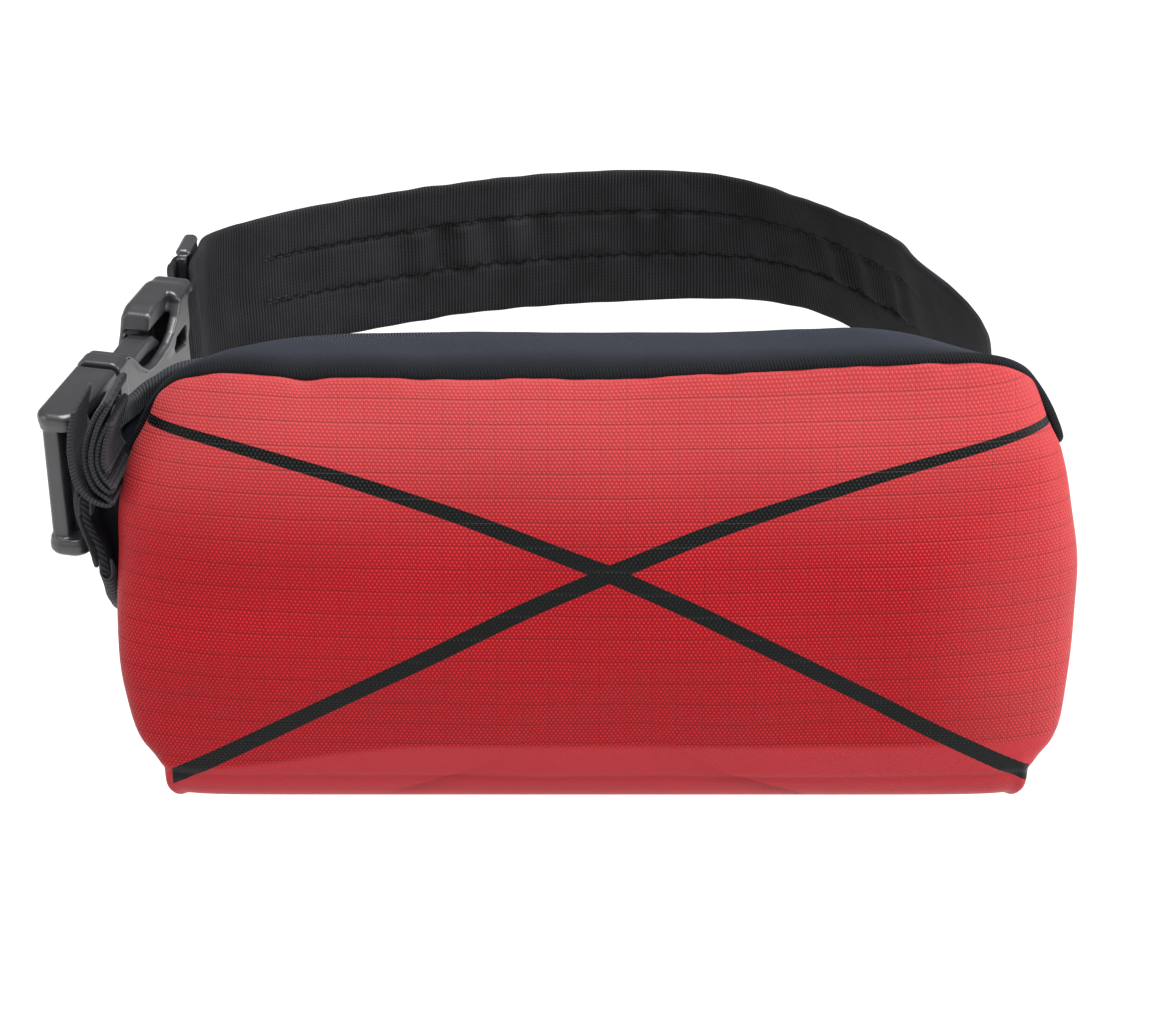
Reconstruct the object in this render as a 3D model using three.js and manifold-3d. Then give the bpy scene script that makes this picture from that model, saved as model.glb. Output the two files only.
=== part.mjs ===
// A belt pack: a soft pouch on a waist belt that closes with a side-release buckle.
// Millimetres, +Z up. The pouch is at the front (-Y), the belt runs round the back (+Y).
// The origin is the centre of the waist opening, at the height of the belt's middle.
import * as THREE from 'three';
import { mergeVertices } from 'three/addons/utils/BufferGeometryUtils.js';
import Module from 'manifold-3d';

const wasm = await Module();
wasm.setup();

// Pouch
const pouchWidth = 299;        // widest, across the belly
const pouchHeight = 141.5;       // from the front seam down to the underside
const pouchDepth = 60;         // from the belly to the back edge
const coverWall = 1.8;         // laminated front fabric
const topWall = 3;             // knit-faced foam of the top panel
const topCrown = 4.6;          // how far the top panel arches above its edges
const backPanelThickness = 4;
const cushionRise = 1.2;       // how far the panel's thicker middle stands out towards the wearer
const cushionMargin = 9;       // from the panel's upper and lower edges to the thicker middle
const seamDrop = 33;           // how far the front seam falls on its way to the back edge
const topBackDrop = 5;         // the top panel's back edge, below the front seam
const seamGap = 0.35;          // between pieces that are sewn together

// Belt
const beltWidth = 50;          // elastic band
const beltThickness = 2;
const stripWidth = 21;         // webbing sewn along the outside of the band
const stripLift = 1.5;         // the webbing sits above the band's middle line
const stripThickness = 1.2;
const waistWidth = 262;        // between the band's middle lines
const waistDepth = 168.3;        // from the back panel to the band's middle line
const beltRise = 0.05;         // climb of the belt for each millimetre towards the back
const beltBelowSeam = 49;      // belt's middle line at the pouch's front, below the front seam
const bandOverlap = 46;        // band sewn to the back panel
const bandHalfAtBuckle = 20;   // the band is gathered to go round the buckle's bar

// Side strap and wing on the buckle's side
const strapWidth = 38;
const strapThickness = 1.5;
const wingThickness = 2.5;
const foldPitch = 1.8;        // one layer of the folded strap end to the next
const foldCount = 3;
const foldLift = 14;           // the folded end sits above the belt's middle line

// Buckle
const buckleHeight = 50;
const buckleThickness = 13.6;
const maleLength = 35.3;
const buckleSlack = 1.4;       // the groove between the two halves
const femaleLength = 68;
const cheekHeight = 5.2;       // the male half's ribs above and below the strap
const barThickness = 5.4;
const webBarThickness = 4;
const runningGap = 0.35;
const sliderLength = 22;
const sliderHeight = 57;
const sliderThickness = 6;

// Heights and depths that the pieces share, in the pouch's frame: y = 0 is a little behind the belly.
const halfWidth = pouchWidth / 2;
const bellyY = -pouchDepth * 0.1;
const backY = bellyY + pouchDepth;
const seamZ = pouchHeight * 0.452;
const panelRearY = backY + seamGap + backPanelThickness;
const beltZ = (y) => seamZ - beltBelowSeam + beltRise * y;
const waistCentre = new THREE.Vector3(0, panelRearY + waistDepth / 2, 0);
waistCentre.z = beltZ(waistCentre.y);

// Small maths
const power = (value, exponent) => Math.sign(value) * Math.abs(value) ** exponent;
const smooth = (t) => {
  const c = Math.min(1, Math.max(0, t));
  return c * c * (3 - 2 * c);
};

// Reads a table with named columns at any row position, on a smooth curve through its rows.
function readTable(rows, at) {
  const last = rows.length - 1;
  const i = Math.min(last - 1, Math.max(0, Math.floor(at)));
  const t = at - i;
  const out = {};
  for (const key of Object.keys(rows[0])) {
    const p0 = rows[Math.max(0, i - 1)][key];
    const p1 = rows[i][key];
    const p2 = rows[i + 1][key];
    const p3 = rows[Math.min(last, i + 2)][key];
    const bend = (2 * p0 - 5 * p1 + 4 * p2 - p3) * t * t + (3 * p1 - p0 - 3 * p2 + p3) * t * t * t;
    out[key] = 0.5 * (2 * p1 + (p2 - p0) * t + bend);
  }
  return out;
}

// Mesh helpers
function meshFrom(positions, triangles) {
  const geometry = new THREE.BufferGeometry();
  geometry.setAttribute('position', new THREE.Float32BufferAttribute(positions.flat(), 3));
  geometry.setIndex(triangles.flat());
  return geometry;
}

// A closed wall between two grids of points of the same size. Triangles that collapse are left out.
function wall(front, back) {
  const rows = front.length;
  const columns = front[0].length;
  const points = [];
  const known = new Map();
  const index = (p) => {
    const key = p.map((v) => Math.round(v * 1e4)).join();
    if (!known.has(key)) {
      known.set(key, points.length);
      points.push(p);
    }
    return known.get(key);
  };
  const f = front.map((row) => row.map(index));
  const b = back.map((row) => row.map(index));
  const triangles = [];
  const triangle = (i, j, k) => {
    if (i !== j && j !== k && k !== i) triangles.push([i, j, k]);
  };
  const quad = (i, j, k, l) => {
    triangle(i, j, k);
    triangle(i, k, l);
  };
  for (let r = 0; r + 1 < rows; r++) {
    for (let c = 0; c + 1 < columns; c++) {
      quad(f[r][c], f[r][c + 1], f[r + 1][c + 1], f[r + 1][c]);
      quad(b[r][c], b[r + 1][c], b[r + 1][c + 1], b[r][c + 1]);
    }
    quad(f[r][0], f[r + 1][0], b[r + 1][0], b[r][0]);
    quad(f[r + 1][columns - 1], f[r][columns - 1], b[r][columns - 1], b[r + 1][columns - 1]);
  }
  for (let c = 0; c + 1 < columns; c++) {
    quad(f[0][c + 1], f[0][c], b[0][c], b[0][c + 1]);
    quad(f[rows - 1][c], f[rows - 1][c + 1], b[rows - 1][c + 1], b[rows - 1][c]);
  }
  let volume = 0;
  for (const [i, j, k] of triangles) {
    const [p, q, s] = [points[i], points[j], points[k]];
    volume += p[0] * (q[1] * s[2] - q[2] * s[1]) + p[1] * (q[2] * s[0] - q[0] * s[2])
      + p[2] * (q[0] * s[1] - q[1] * s[0]);
  }
  if (volume < 0) triangles.forEach((t) => t.reverse());
  return meshFrom(points, triangles);
}

function solid(geometry) {
  const bare = geometry.clone();
  bare.deleteAttribute('normal');
  bare.deleteAttribute('uv');
  const merged = mergeVertices(bare, 1e-4);
  const triVerts = merged.index ? merged.index.array
    : Uint32Array.from({ length: merged.attributes.position.count }, (_, i) => i);
  return new wasm.Manifold(new wasm.Mesh({
    numProp: 3,
    vertProperties: Float32Array.from(merged.attributes.position.array),
    triVerts: Uint32Array.from(triVerts),
  }));
}

function geometryOf(manifold) {
  const mesh = manifold.getMesh();
  const geometry = new THREE.BufferGeometry();
  geometry.setAttribute('position', new THREE.BufferAttribute(mesh.vertProperties, 3));
  geometry.setIndex(new THREE.BufferAttribute(mesh.triVerts, 1));
  return geometry;
}

// Pouch shape. Each row is a bent line from one back edge, round the belly, to the other back edge.
// forward: share of the depth that the row reaches. down: share of the height below the seam, at the belly.
// rim: the same at the back edge. wide: share of the half width. square: how boxy the row's corners are.
// taper: how much narrower the row is at the back edge, as a share of the half width.
const coverRows = [
  { forward: 0.665, down: 0.000, rim: seamDrop / pouchHeight, wide: 0.940, square: 3.1, taper: 0.085 },
  { forward: 0.745, down: 0.060, rim: 0.270, wide: 0.953, square: 3.1, taper: 0.087 },
  { forward: 0.865, down: 0.190, rim: 0.330, wide: 0.972, square: 3.2, taper: 0.087 },
  { forward: 0.950, down: 0.350, rim: 0.420, wide: 0.990, square: 3.3, taper: 0.087 },
  { forward: 0.990, down: 0.530, rim: 0.520, wide: 1.000, square: 3.4, taper: 0.087 },
  { forward: 1.000, down: 0.690, rim: 0.620, wide: 0.994, square: 4.0, taper: 0.087 },
  { forward: 0.975, down: 0.820, rim: 0.720, wide: 0.968, square: 5.2, taper: 0.080 },
  { forward: 0.925, down: 0.910, rim: 0.800, wide: 0.935, square: 8.0, taper: 0.068 },
  { forward: 0.850, down: 0.970, rim: 0.860, wide: 0.905, square: 12.0, taper: 0.055 },
  { forward: 0.700, down: 1.000, rim: 0.905, wide: 0.885, square: 12.0, taper: 0.040 },
  { forward: 0.450, down: 1.005, rim: 0.930, wide: 0.862, square: 12.0, taper: 0.020 },
  { forward: 0.220, down: 0.992, rim: 0.942, wide: 0.845, square: 12.0, taper: 0.008 },
  { forward: 0.000, down: 0.970, rim: 0.950, wide: 0.835, square: 12.0, taper: 0.000 },
];
const coverSteps = 20;
const sideSteps = 3;           // columns behind the widest plane, at each end of a row
const roundSteps = 32;         // columns round the front
const sideClimb = 0.3;         // share of a row's rise that happens behind the widest plane
const widestShare = 0.48;      // how far in front of the back edge a row is widest, as a share of its reach

// Columns of the skin: below 0 and above 1 is the side behind the widest plane, 0 to 1 goes round the front.
const turnAt = (t) => Math.PI * (0.6 * t + 0.4 * (t - Math.sin(4 * Math.PI * t) / (4 * Math.PI)));
const columns = [
  ...Array.from({ length: sideSteps }, (_, i) => i / sideSteps - 1),
  ...Array.from({ length: roundSteps + 1 }, (_, i) => i / roundSteps),
  ...Array.from({ length: sideSteps }, (_, i) => 1 + (i + 1) / sideSteps),
];

// A point of the pouch's skin, moved inwards by inset. at is a position between the table's rows.
function pouchSkin(at, column, inset) {
  const row = readTable(coverRows, at);
  const reach = row.forward * pouchDepth;
  const widestY = backY - widestShare * reach;
  const behind = Math.max(0, -column, column - 1);
  const turn = turnAt(Math.min(1, Math.max(0, column)));
  const round = Math.abs(Math.sin(turn)) ** (2 / row.square);
  const y = behind > 0 ? widestY + behind * (backY - widestY)
    : widestY - Math.max(0, reach * (1 - widestShare) - inset) * round;
  const half = (row.wide - row.taper * behind ** 1.6) * halfWidth - inset;
  const lift = at > 5 ? inset * smooth((at - 5) / 4) : 0;
  const front = seamZ - row.down * pouchHeight + lift;
  const rim = seamZ - row.rim * pouchHeight + lift;
  const share = behind > 0 ? sideClimb * (1 - behind) : sideClimb + (1 - sideClimb) * smooth(round / 0.85);
  return [power(Math.cos(turn), 2 / row.square) * half, y, rim + (front - rim) * share];
}

function frontCover() {
  const rows = Array.from({ length: coverSteps + 1 }, (_, i) => ((coverRows.length - 1) * i) / coverSteps);
  const grid = (inset) => rows.map((at) => columns.map((column) => pouchSkin(at, column, inset)));
  return wall(grid(0), grid(coverWall));
}

// Top panel: from the front seam over the crown to the back panel's upper edge.
const topRows = 7;
const topSquare = 4.4;

function topBackEdge(column, inset) {
  const corner = pouchSkin(0, -1, inset);
  const turn = (Math.PI * (column + 1)) / 3;
  const top = seamZ - topBackDrop - inset;
  const x = power(Math.cos(turn), 2 / topSquare) * corner[0];
  const z = corner[2] + (top - corner[2]) * Math.abs(Math.sin(turn)) ** (2 / topSquare);
  return [x, backY, z];
}

function topSkin(k, column, inset) {
  const seam = pouchSkin(0, column, inset);
  const back = topBackEdge(column, inset);
  const turn = (Math.PI * (column + 1)) / 3;
  const arch = topCrown * Math.sin(Math.PI * k) ** 0.7 * Math.sin(turn) ** 0.4;
  const outward = 0.5 * Math.cos(turn);
  return [
    seam[0] + (back[0] - seam[0]) * k + arch * outward,
    seam[1] + (back[1] - seam[1]) * k,
    seam[2] + (back[2] - seam[2]) * k + arch + seamGap,
  ];
}

function topPanel() {
  const levels = Array.from({ length: topRows + 1 }, (_, i) => i / topRows);
  const grid = (inset) => levels.map((k) => columns.map((column) => topSkin(k, column, inset)));
  return wall(grid(0), grid(topWall));
}

// Back panel: a flat pad whose outline is the pouch's back edge.
function backOutline() {
  const lastRow = coverRows.length - 1;
  const side = Array.from({ length: 14 }, (_, i) => pouchSkin((lastRow * (i + 1)) / 15, -1, 0));
  const half = pouchSkin(lastRow, -1, 0);
  const over = columns.map((column) => topBackEdge(column, 0)).reverse();
  const left = side.map(([x, y, z]) => [-x, y, z]).reverse();
  return [...side, half, [-half[0], half[1], half[2]], ...left, ...over];
}

function extrudedAlongY(outline, from, thickness) {
  const shape = new THREE.Shape(outline.map(([x, , z]) => new THREE.Vector2(x, z)));
  const geometry = new THREE.ExtrudeGeometry(shape, { depth: thickness, bevelEnabled: false });
  geometry.rotateX(Math.PI / 2);
  geometry.translate(0, from + thickness, 0);
  return geometry;
}

// The panel is a flat flange with a thicker middle, which lies between the sewn ends of band and wing.
function backPanel() {
  const flange = solid(extrudedAlongY(backOutline(), backY + seamGap, backPanelThickness));
  const half = (bandTable[0].across * waistWidth) / 2 - bandOverlap - cushionMargin / 4;
  const low = pouchSkin(coverRows.length - 1, -1, 0)[2] + cushionMargin;
  const high = seamZ - topBackDrop - cushionMargin;
  const outline = roundedRectangle(-half, low, half, high, cushionMargin).map(([x, z]) => [x, 0, z]);
  const sunk = backPanelThickness / 2;
  const cushion = solid(extrudedAlongY(outline, panelRearY - sunk, sunk + cushionRise));
  return geometryOf(flange.add(cushion));
}

// Buckle frame: x runs from the male half's free end to the belt, y outwards, z up.
const frameAt = (x0, y0, turn) => (x, y) => [
  x0 + Math.cos(turn) * x - Math.sin(turn) * y,
  y0 + Math.sin(turn) * x + Math.cos(turn) * y,
];
const buckleTurn = THREE.MathUtils.degToRad(74.6);
const buckleOrigin = new THREE.Vector2(-halfWidth - 16.8, 28.2);
const buckleLift = 3.2;        // middle of the buckle's free end, above the belt's middle line
const buckleRise = 0.075;      // climb of the buckle for each millimetre along it
// How much more the buckle climbs than the belt, for each millimetre along it.
const climb = buckleRise - beltRise * Math.sin(buckleTurn);
const atBuckle = frameAt(buckleOrigin.x, buckleOrigin.y, buckleTurn);
const lockBarX = 18.4;
const lockBarY = 1.2;
const webBarX = maleLength + buckleSlack + femaleLength - webBarThickness / 2;
const sliderTurn = THREE.MathUtils.degToRad(85);
const sliderOrigin = new THREE.Vector2(-waistWidth / 2 - 7.4, 158);
const atSlider = frameAt(sliderOrigin.x, sliderOrigin.y, sliderTurn);

// Ribbons: straps stand upright along a plan-view path. Each path point has x, y, the middle height z,
// the half width, the lean as a sideways move for each millimetre up, a bulge that swells to the left, and
// the share of the buckle's tilt that it follows. raised: height of the point above the line it leans from.
const bulgeHeight = 18;        // height of the bulge's middle in the pouch's frame
const bulgeSpread = 16;
const bulge = (z, amount) => -amount * Math.exp(-(((z - bulgeHeight) / bulgeSpread) ** 2));

function ribbon(path, thickness, offset, across) {
  const face = (side) => path.map((p, i) => {
    const before = path[Math.max(0, i - 1)];
    const after = path[Math.min(path.length - 1, i + 1)];
    const inward = new THREE.Vector2(before.y - after.y, after.x - before.x).normalize();
    return Array.from({ length: across + 1 }, (_, j) => {
      const up = p.half * ((2 * j) / across - 1);
      const z = p.z + up;
      const shift = offset + side * thickness / 2 + (up + (p.raised ?? 0)) * (p.lean ?? 0);
      const tilt = -up * buckleRise * (p.tilt ?? 0);
      return [
        p.x + inward.x * shift + bulge(z, p.bulge ?? 0) + tilt * Math.cos(buckleTurn),
        p.y + inward.y * shift + tilt * Math.sin(buckleTurn),
        z,
      ];
    });
  });
  return wall(face(1), face(-1));
}

// Points every few millimetres along a smooth curve through plan-view points.
function curve(points, step) {
  const spline = new THREE.CatmullRomCurve3(
    points.map(([x, y]) => new THREE.Vector3(x, y, 0)), false, 'centripetal');
  const count = Math.max(2, Math.round(spline.getLength() / step));
  return spline.getSpacedPoints(count).map((p) => [p.x, p.y]);
}

// Belt band. across: share of half the waist width. back: share of the waist depth. lean as in ribbon.
const bandTable = [
  { across: 0.870, back: 0.018, lean: 0.00 },
  { across: 0.945, back: 0.070, lean: 0.02 },
  { across: 0.968, back: 0.140, lean: 0.05 },
  { across: 0.972, back: 0.230, lean: 0.10 },
  { across: 0.955, back: 0.330, lean: 0.14 },
  { across: 0.920, back: 0.430, lean: 0.17 },
  { across: 0.865, back: 0.540, lean: 0.20 },
  { across: 0.825, back: 0.645, lean: 0.23 },
  { across: 0.735, back: 0.750, lean: 0.26 },
  { across: 0.610, back: 0.860, lean: 0.28 },
  { across: 0.450, back: 0.950, lean: 0.20 },
  { across: 0.290, back: 0.993, lean: 0.08 },
  { across: 0.110, back: 1.000, lean: 0.01 },
  { across: -0.120, back: 0.978, lean: 0.00 },
  { across: -0.390, back: 0.925, lean: 0.00 },
  { across: -0.640, back: 0.845, lean: 0.00 },
  { across: -0.830, back: 0.770, lean: 0.00 },
  { across: -0.950, back: 0.710, lean: 0.00 },
];
const bandSteps = 54;
const bandStand = panelRearY + seamGap + beltThickness / 2;

function bandRun(from, to, steps) {
  return Array.from({ length: steps + 1 }, (_, i) => {
    const row = readTable(bandTable, from + ((to - from) * i) / steps);
    const y = bandStand + row.back * waistDepth;
    return { x: (row.across * waistWidth) / 2, y, z: beltZ(y), half: beltWidth / 2, lean: row.lean };
  });
}

const onBelt = (half, share = 0) => ([x, y]) => ({
  x, y, z: beltZ(y) + (buckleLift + webBarX * climb) * share, half, tilt: share,
});

function beltBand() {
  const startX = (bandTable[0].across * waistWidth) / 2;
  const sewn = [0, 0.35, 0.7].map((t) => [startX - bandOverlap * (1 - t), bandStand]);
  const loopRadius = webBarThickness * 0.71 + runningGap + beltThickness / 2;
  const arc = Array.from({ length: 13 }, (_, i) => {
    const turn = -Math.PI / 2 - (Math.PI * i) / 12;
    return atBuckle(webBarX + loopRadius * Math.cos(turn), loopRadius * Math.sin(turn));
  });
  const run = bandRun(0, bandTable.length - 1, bandSteps);
  const end = run[run.length - 1];
  const half = sliderLength / 2;
  const inside = -sliderThickness / 2 - 0.6;
  const approach = curve([[end.x, end.y], atSlider(half + 1, inside - 0.4), atSlider(0, inside),
    atSlider(-half, inside), atBuckle(webBarX + 7, -loopRadius - 0.2), arc[0]], 5).slice(1, -1);
  const back = [atBuckle(webBarX + 7, loopRadius + 0.2), ...[[-half - 3, 3.1], [-half + 1, 3.1], [-half + 4.6, 3],
    [-half + 6.6, 1.2], [-half + 8.4, -0.9], [-half + 12.4, -1.2], [-half + 17, -1.2]]
    .map(([x, y]) => atSlider(x, y))];
  const gather = (points, from, to) => points.map((p, i) => {
    const share = smooth(from + ((to - from) * i) / (points.length - 1));
    return onBelt(beltWidth / 2 + (bandHalfAtBuckle - beltWidth / 2) * share, share)(p);
  });
  return ribbon([...sewn.map(onBelt(beltWidth / 2)), ...run, ...gather(approach, -1.2, 1), ...gather(arc, 1, 1),
    ...gather(back, 1, -1)], beltThickness, 0, 2);
}

const stripFrom = 6.2;         // rows of the band's table where the outer webbing starts and ends
const stripTo = 16.3;
function bandStrip() {
  const path = bandRun(stripFrom, stripTo, 34).map((p) => ({
    ...p, z: p.z + stripLift, raised: stripLift, half: stripWidth / 2,
  }));
  return ribbon(path, stripThickness, -(beltThickness / 2 + seamGap + stripThickness / 2), 2);
}

// Wing: a tapered flap from the back panel, folded forwards beside the pouch.
// out: distance outside the pouch's widest point. back: share of the way from the belly to the panel's rear.
// low and high: shares of the pouch's height below the seam. swell: share of the wing's bulge.
const wingBulge = 3;
const wingTable = [
  { out: -54.0, back: 1.0, low: 0.66, high: 0.10, swell: 0.0 },
  { out: -22.0, back: 1.0, low: 0.66, high: 0.12, swell: 0.0 },
  { out: -10.0, back: 0.99, low: 0.66, high: 0.16, swell: 0.1 },
  { out: -3.5, back: 0.925, low: 0.66, high: 0.19, swell: 0.4 },
  { out: 0.6, back: 0.80, low: 0.66, high: 0.195, swell: 0.8 },
  { out: 2.4, back: 0.66, low: 0.65, high: 0.20, swell: 1.0 },
  { out: 3.3, back: 0.51, low: 0.62, high: 0.21, swell: 1.0 },
  { out: 3.7, back: 0.39, low: 0.54, high: 0.25, swell: 1.0 },
];
const wingStand = panelRearY + seamGap + wingThickness / 2;
function wingPoint(at) {
  const row = readTable(wingTable, at);
  const low = seamZ - row.low * pouchHeight;
  const high = seamZ - row.high * pouchHeight;
  return {
    x: -halfWidth - row.out,
    y: bellyY + row.back * (wingStand - bellyY),
    z: (low + high) / 2,
    half: (high - low) / 2,
    bulge: wingBulge * row.swell,
  };
}
const wingEnd = wingTable.length - 1;
const wingPath = () => Array.from({ length: 29 }, (_, i) => wingPoint((wingEnd * i) / 28));
const wing = () => ribbon(wingPath(), wingThickness, 0, 6);

// A line that keeps a distance from the wing's middle line, on its inner (positive) or outer side.
function besideWing(from, to, distance, steps) {
  return Array.from({ length: steps + 1 }, (_, i) => {
    const at = from + ((to - from) * i) / steps;
    const p = wingPoint(at);
    const a = wingPoint(Math.max(0, at - 0.05));
    const b = wingPoint(Math.min(wingEnd, at + 0.05));
    const inward = new THREE.Vector2(a.y - b.y, b.x - a.x).normalize();
    return { x: p.x + inward.x * distance, y: p.y + inward.y * distance, bulge: p.bulge };
  });
}

// Side strap: sewn to the wing, round the male half's lock bar, round the wing's free edge, then folded.
function sideStrap() {
  const clear = wingThickness / 2 + runningGap + strapThickness / 2;
  const lift = (p, share) => ({ ...p, z: beltZ(p.y) + foldLift * share, half: strapWidth / 2 });
  const atBar = ([x, y], share) => ({
    x, y, z: beltZ(y) + (buckleLift + lockBarX * climb) * share, half: strapWidth / 2, tilt: share,
    bulge: wingBulge * (1 - share),
  });
  const sewn = besideWing(0.35, 2.75, -clear, 10).map((p) => lift(p, 0));
  const barRadius = barThickness / 2 + runningGap + strapThickness / 2;
  const barArc = Array.from({ length: 15 }, (_, i) => {
    const turn = THREE.MathUtils.degToRad(-28 + 246 * (i / 14));
    return atBuckle(lockBarX + barRadius * Math.cos(turn), lockBarY + barRadius * Math.sin(turn));
  });
  const forward = besideWing(6.1, wingEnd, -clear - 0.25, 4);
  const enter = curve([[sewn[10].x, sewn[10].y], atBuckle(lockBarX + 8.6, -5.6), barArc[0]], 3)
    .slice(1, -1).map((p, i, all) => ({ ...atBar(p, smooth((1.8 * (i + 1)) / all.length)), bulge: 0 }));
  const round = barArc.map((p) => atBar(p, 1));
  const leave = curve([barArc[14], atBuckle(lockBarX - 5.6, -5.2), [forward[0].x, forward[0].y]], 1.6)
    .slice(1, -1).map((p, i, all) => atBar(p, 1 - smooth((1.8 * (i + 1)) / all.length - 0.8)));
  const along = forward.map((p) => lift(p, 0));
  const edge = wingPoint(wingEnd);
  const edgeTurn = Array.from({ length: 9 }, (_, i) => {
    const turn = Math.PI + (Math.PI * (i + 1)) / 10;
    const x = edge.x + (clear + 0.25) * Math.cos(turn);
    const y = edge.y + (clear + 0.25) * Math.sin(turn);
    return lift({ x, y, bulge: edge.bulge }, 0.15 + 0.25 * ((i + 1) / 10));
  });
  const folds = [];
  const rearAt = 4.55;         // rows of the wing's table between which the end is folded
  const frontAt = 5.85;
  for (let i = 0; i <= foldCount; i++) {
    const rearwards = i % 2 === 0;
    const distance = clear + 0.25 + i * foldPitch;
    const front = i === 0 ? wingEnd : frontAt - 0.12 * i;
    const rear = rearAt + 0.1 * i;
    const layer = besideWing(rearwards ? front : rear, rearwards ? rear : front, distance, i === 0 ? 12 : 5);
    layer.forEach((p, j) => folds.push(lift(p, i === 0 ? 0.4 + 0.6 * smooth(j / 9) : 1)));
    if (i === foldCount) break;
    const tip = folds[folds.length - 1];
    const before = folds[folds.length - 2];
    const heading = Math.atan2(tip.y - before.y, tip.x - before.x);
    const hand = rearwards ? -1 : 1;
    const centre = [tip.x - hand * Math.sin(heading) * foldPitch / 2, tip.y + hand * Math.cos(heading) * foldPitch / 2];
    for (let k = 1; k <= 4; k++) {
      const turn = heading - hand * Math.PI / 2 + hand * (Math.PI * k) / 5;
      folds.push(lift({ x: centre[0] + Math.cos(turn) * foldPitch / 2,
        y: centre[1] + Math.sin(turn) * foldPitch / 2, bulge: tip.bulge }, 1));
    }
  }
  return ribbon([...sewn, ...enter, ...round, ...leave, ...along, ...edgeTurn, ...folds],
    strapThickness, 0, 4);
}

// Buckle solids, in the buckle's frame. A block is a rounded outline in x and z, given thickness along y.
function block(points, halfThickness, round) {
  const shape = new THREE.Shape(points.map(([x, z]) => new THREE.Vector2(x, z)));
  const geometry = new THREE.ExtrudeGeometry(shape, {
    depth: 2 * (halfThickness - round), bevelEnabled: round > 0, bevelSize: round, bevelThickness: round,
    bevelOffset: -round, bevelSegments: 2, curveSegments: 5,
  });
  geometry.rotateX(Math.PI / 2);
  geometry.translate(0, halfThickness - round, 0);
  return solid(geometry);
}

function roundedRectangle(x0, z0, x1, z1, radius, segments = 5) {
  const points = [];
  for (const [cx, cz, start] of [[x1 - radius, z1 - radius, 0], [x0 + radius, z1 - radius, 90],
    [x0 + radius, z0 + radius, 180], [x1 - radius, z0 + radius, 270]]) {
    for (let i = 0; i <= segments; i++) {
      const turn = THREE.MathUtils.degToRad(start + (90 * i) / segments);
      points.push([cx + radius * Math.cos(turn), cz + radius * Math.sin(turn)]);
    }
  }
  return points;
}

// An upright bar with a rounded plan section, between two heights.
function uprightBar(x0, y0, x1, y1, radius, halfHeight) {
  const shape = new THREE.Shape(roundedRectangle(x0, y0, x1, y1, radius, 3)
    .map(([x, y]) => new THREE.Vector2(x, y)));
  const geometry = new THREE.ExtrudeGeometry(shape, { depth: 2 * halfHeight, bevelEnabled: false });
  geometry.translate(0, 0, -halfHeight);
  return solid(geometry);
}

const halfBuckle = buckleHeight / 2;
const halfThick = buckleThickness / 2;
const strapSpace = halfBuckle - cheekHeight;
const mirrored = (shape) => shape.add(shape.mirror([0, 0, 1]));

// Prong outline of the male half, from its root to its tip: x from the free end, z from the middle.
const prongTable = [
  { x: -4.5, low: 9.0, high: 17.0 }, { x: 6.0, low: 11.5, high: 17.2 }, { x: 15.0, low: 13.0, high: 17.6 },
  { x: 22.0, low: 13.6, high: 18.3 }, { x: 32.0, low: 13.6, high: 18.7 }, { x: 38.0, low: 12.6, high: 17.4 },
  { x: 42.5, low: 11.4, high: 13.6 },
];

function maleHalf() {
  const cheek = block(roundedRectangle(0, strapSpace, maleLength, halfBuckle, 2.4), halfThick, 1.6);
  const endBar = uprightBar(2.0, -3.5, 8.6, halfThick - 0.7, 1.6, strapSpace + 1);
  const groove = uprightBar(-1, 0.4, 4.6, 2.4, 0.9, strapSpace + 0.4);
  const lockBar = uprightBar(lockBarX - barThickness / 2, lockBarY - barThickness / 2, lockBarX + barThickness / 2,
    lockBarY + barThickness / 2, 2.4, strapSpace + 1);
  const root = uprightBar(maleLength - 7.5, 0.4, maleLength - 0.01, halfThick - 0.7, 1.2, strapSpace + 1);
  const prongHigh = prongTable.map(({ x, high }) => [maleLength + x, high]);
  const prongLow = prongTable.map(({ x, low }) => [maleLength + x, low]).reverse();
  const prong = block([...prongHigh, ...prongLow].reverse(), halfThick - 2.7, 0.8);
  const guide = block(roundedRectangle(maleLength - 6, -4, maleLength + 32, 4, 2), halfThick - 2.9, 0.6);
  return mirrored(cheek).add(endBar).subtract(groove).add(lockBar).add(root)
    .add(mirrored(prong)).add(guide);
}

// Female half: a mouth, thumb windows above and below, a closed rear and a bar for the belt.
const femaleStart = maleLength + buckleSlack;
const mouthLength = 9;
const windowDepth = 12.5;
const windowEnd = 34;          // rear of the thumb windows, from the mouth's face
const innerWindowEnd = 52;     // the same in the plate that faces the wearer
const boxEnd = femaleLength - 8.5;
const plateThickness = 1.9;

// A window's outline: a hollow that is steep at the front and long at the rear.
function windowShape(end, halfThickness) {
  const x0 = femaleStart + mouthLength;
  const points = Array.from({ length: 15 }, (_, i) => {
    const t = i / 14;
    return [x0 + (end - mouthLength) * t, halfBuckle - windowDepth * Math.sin(Math.PI * t ** 0.75) ** 0.6];
  });
  points.push([x0 + end - mouthLength, halfBuckle + 4], [x0, halfBuckle + 4]);
  return block(points.reverse(), halfThickness, 0);
}

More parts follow.
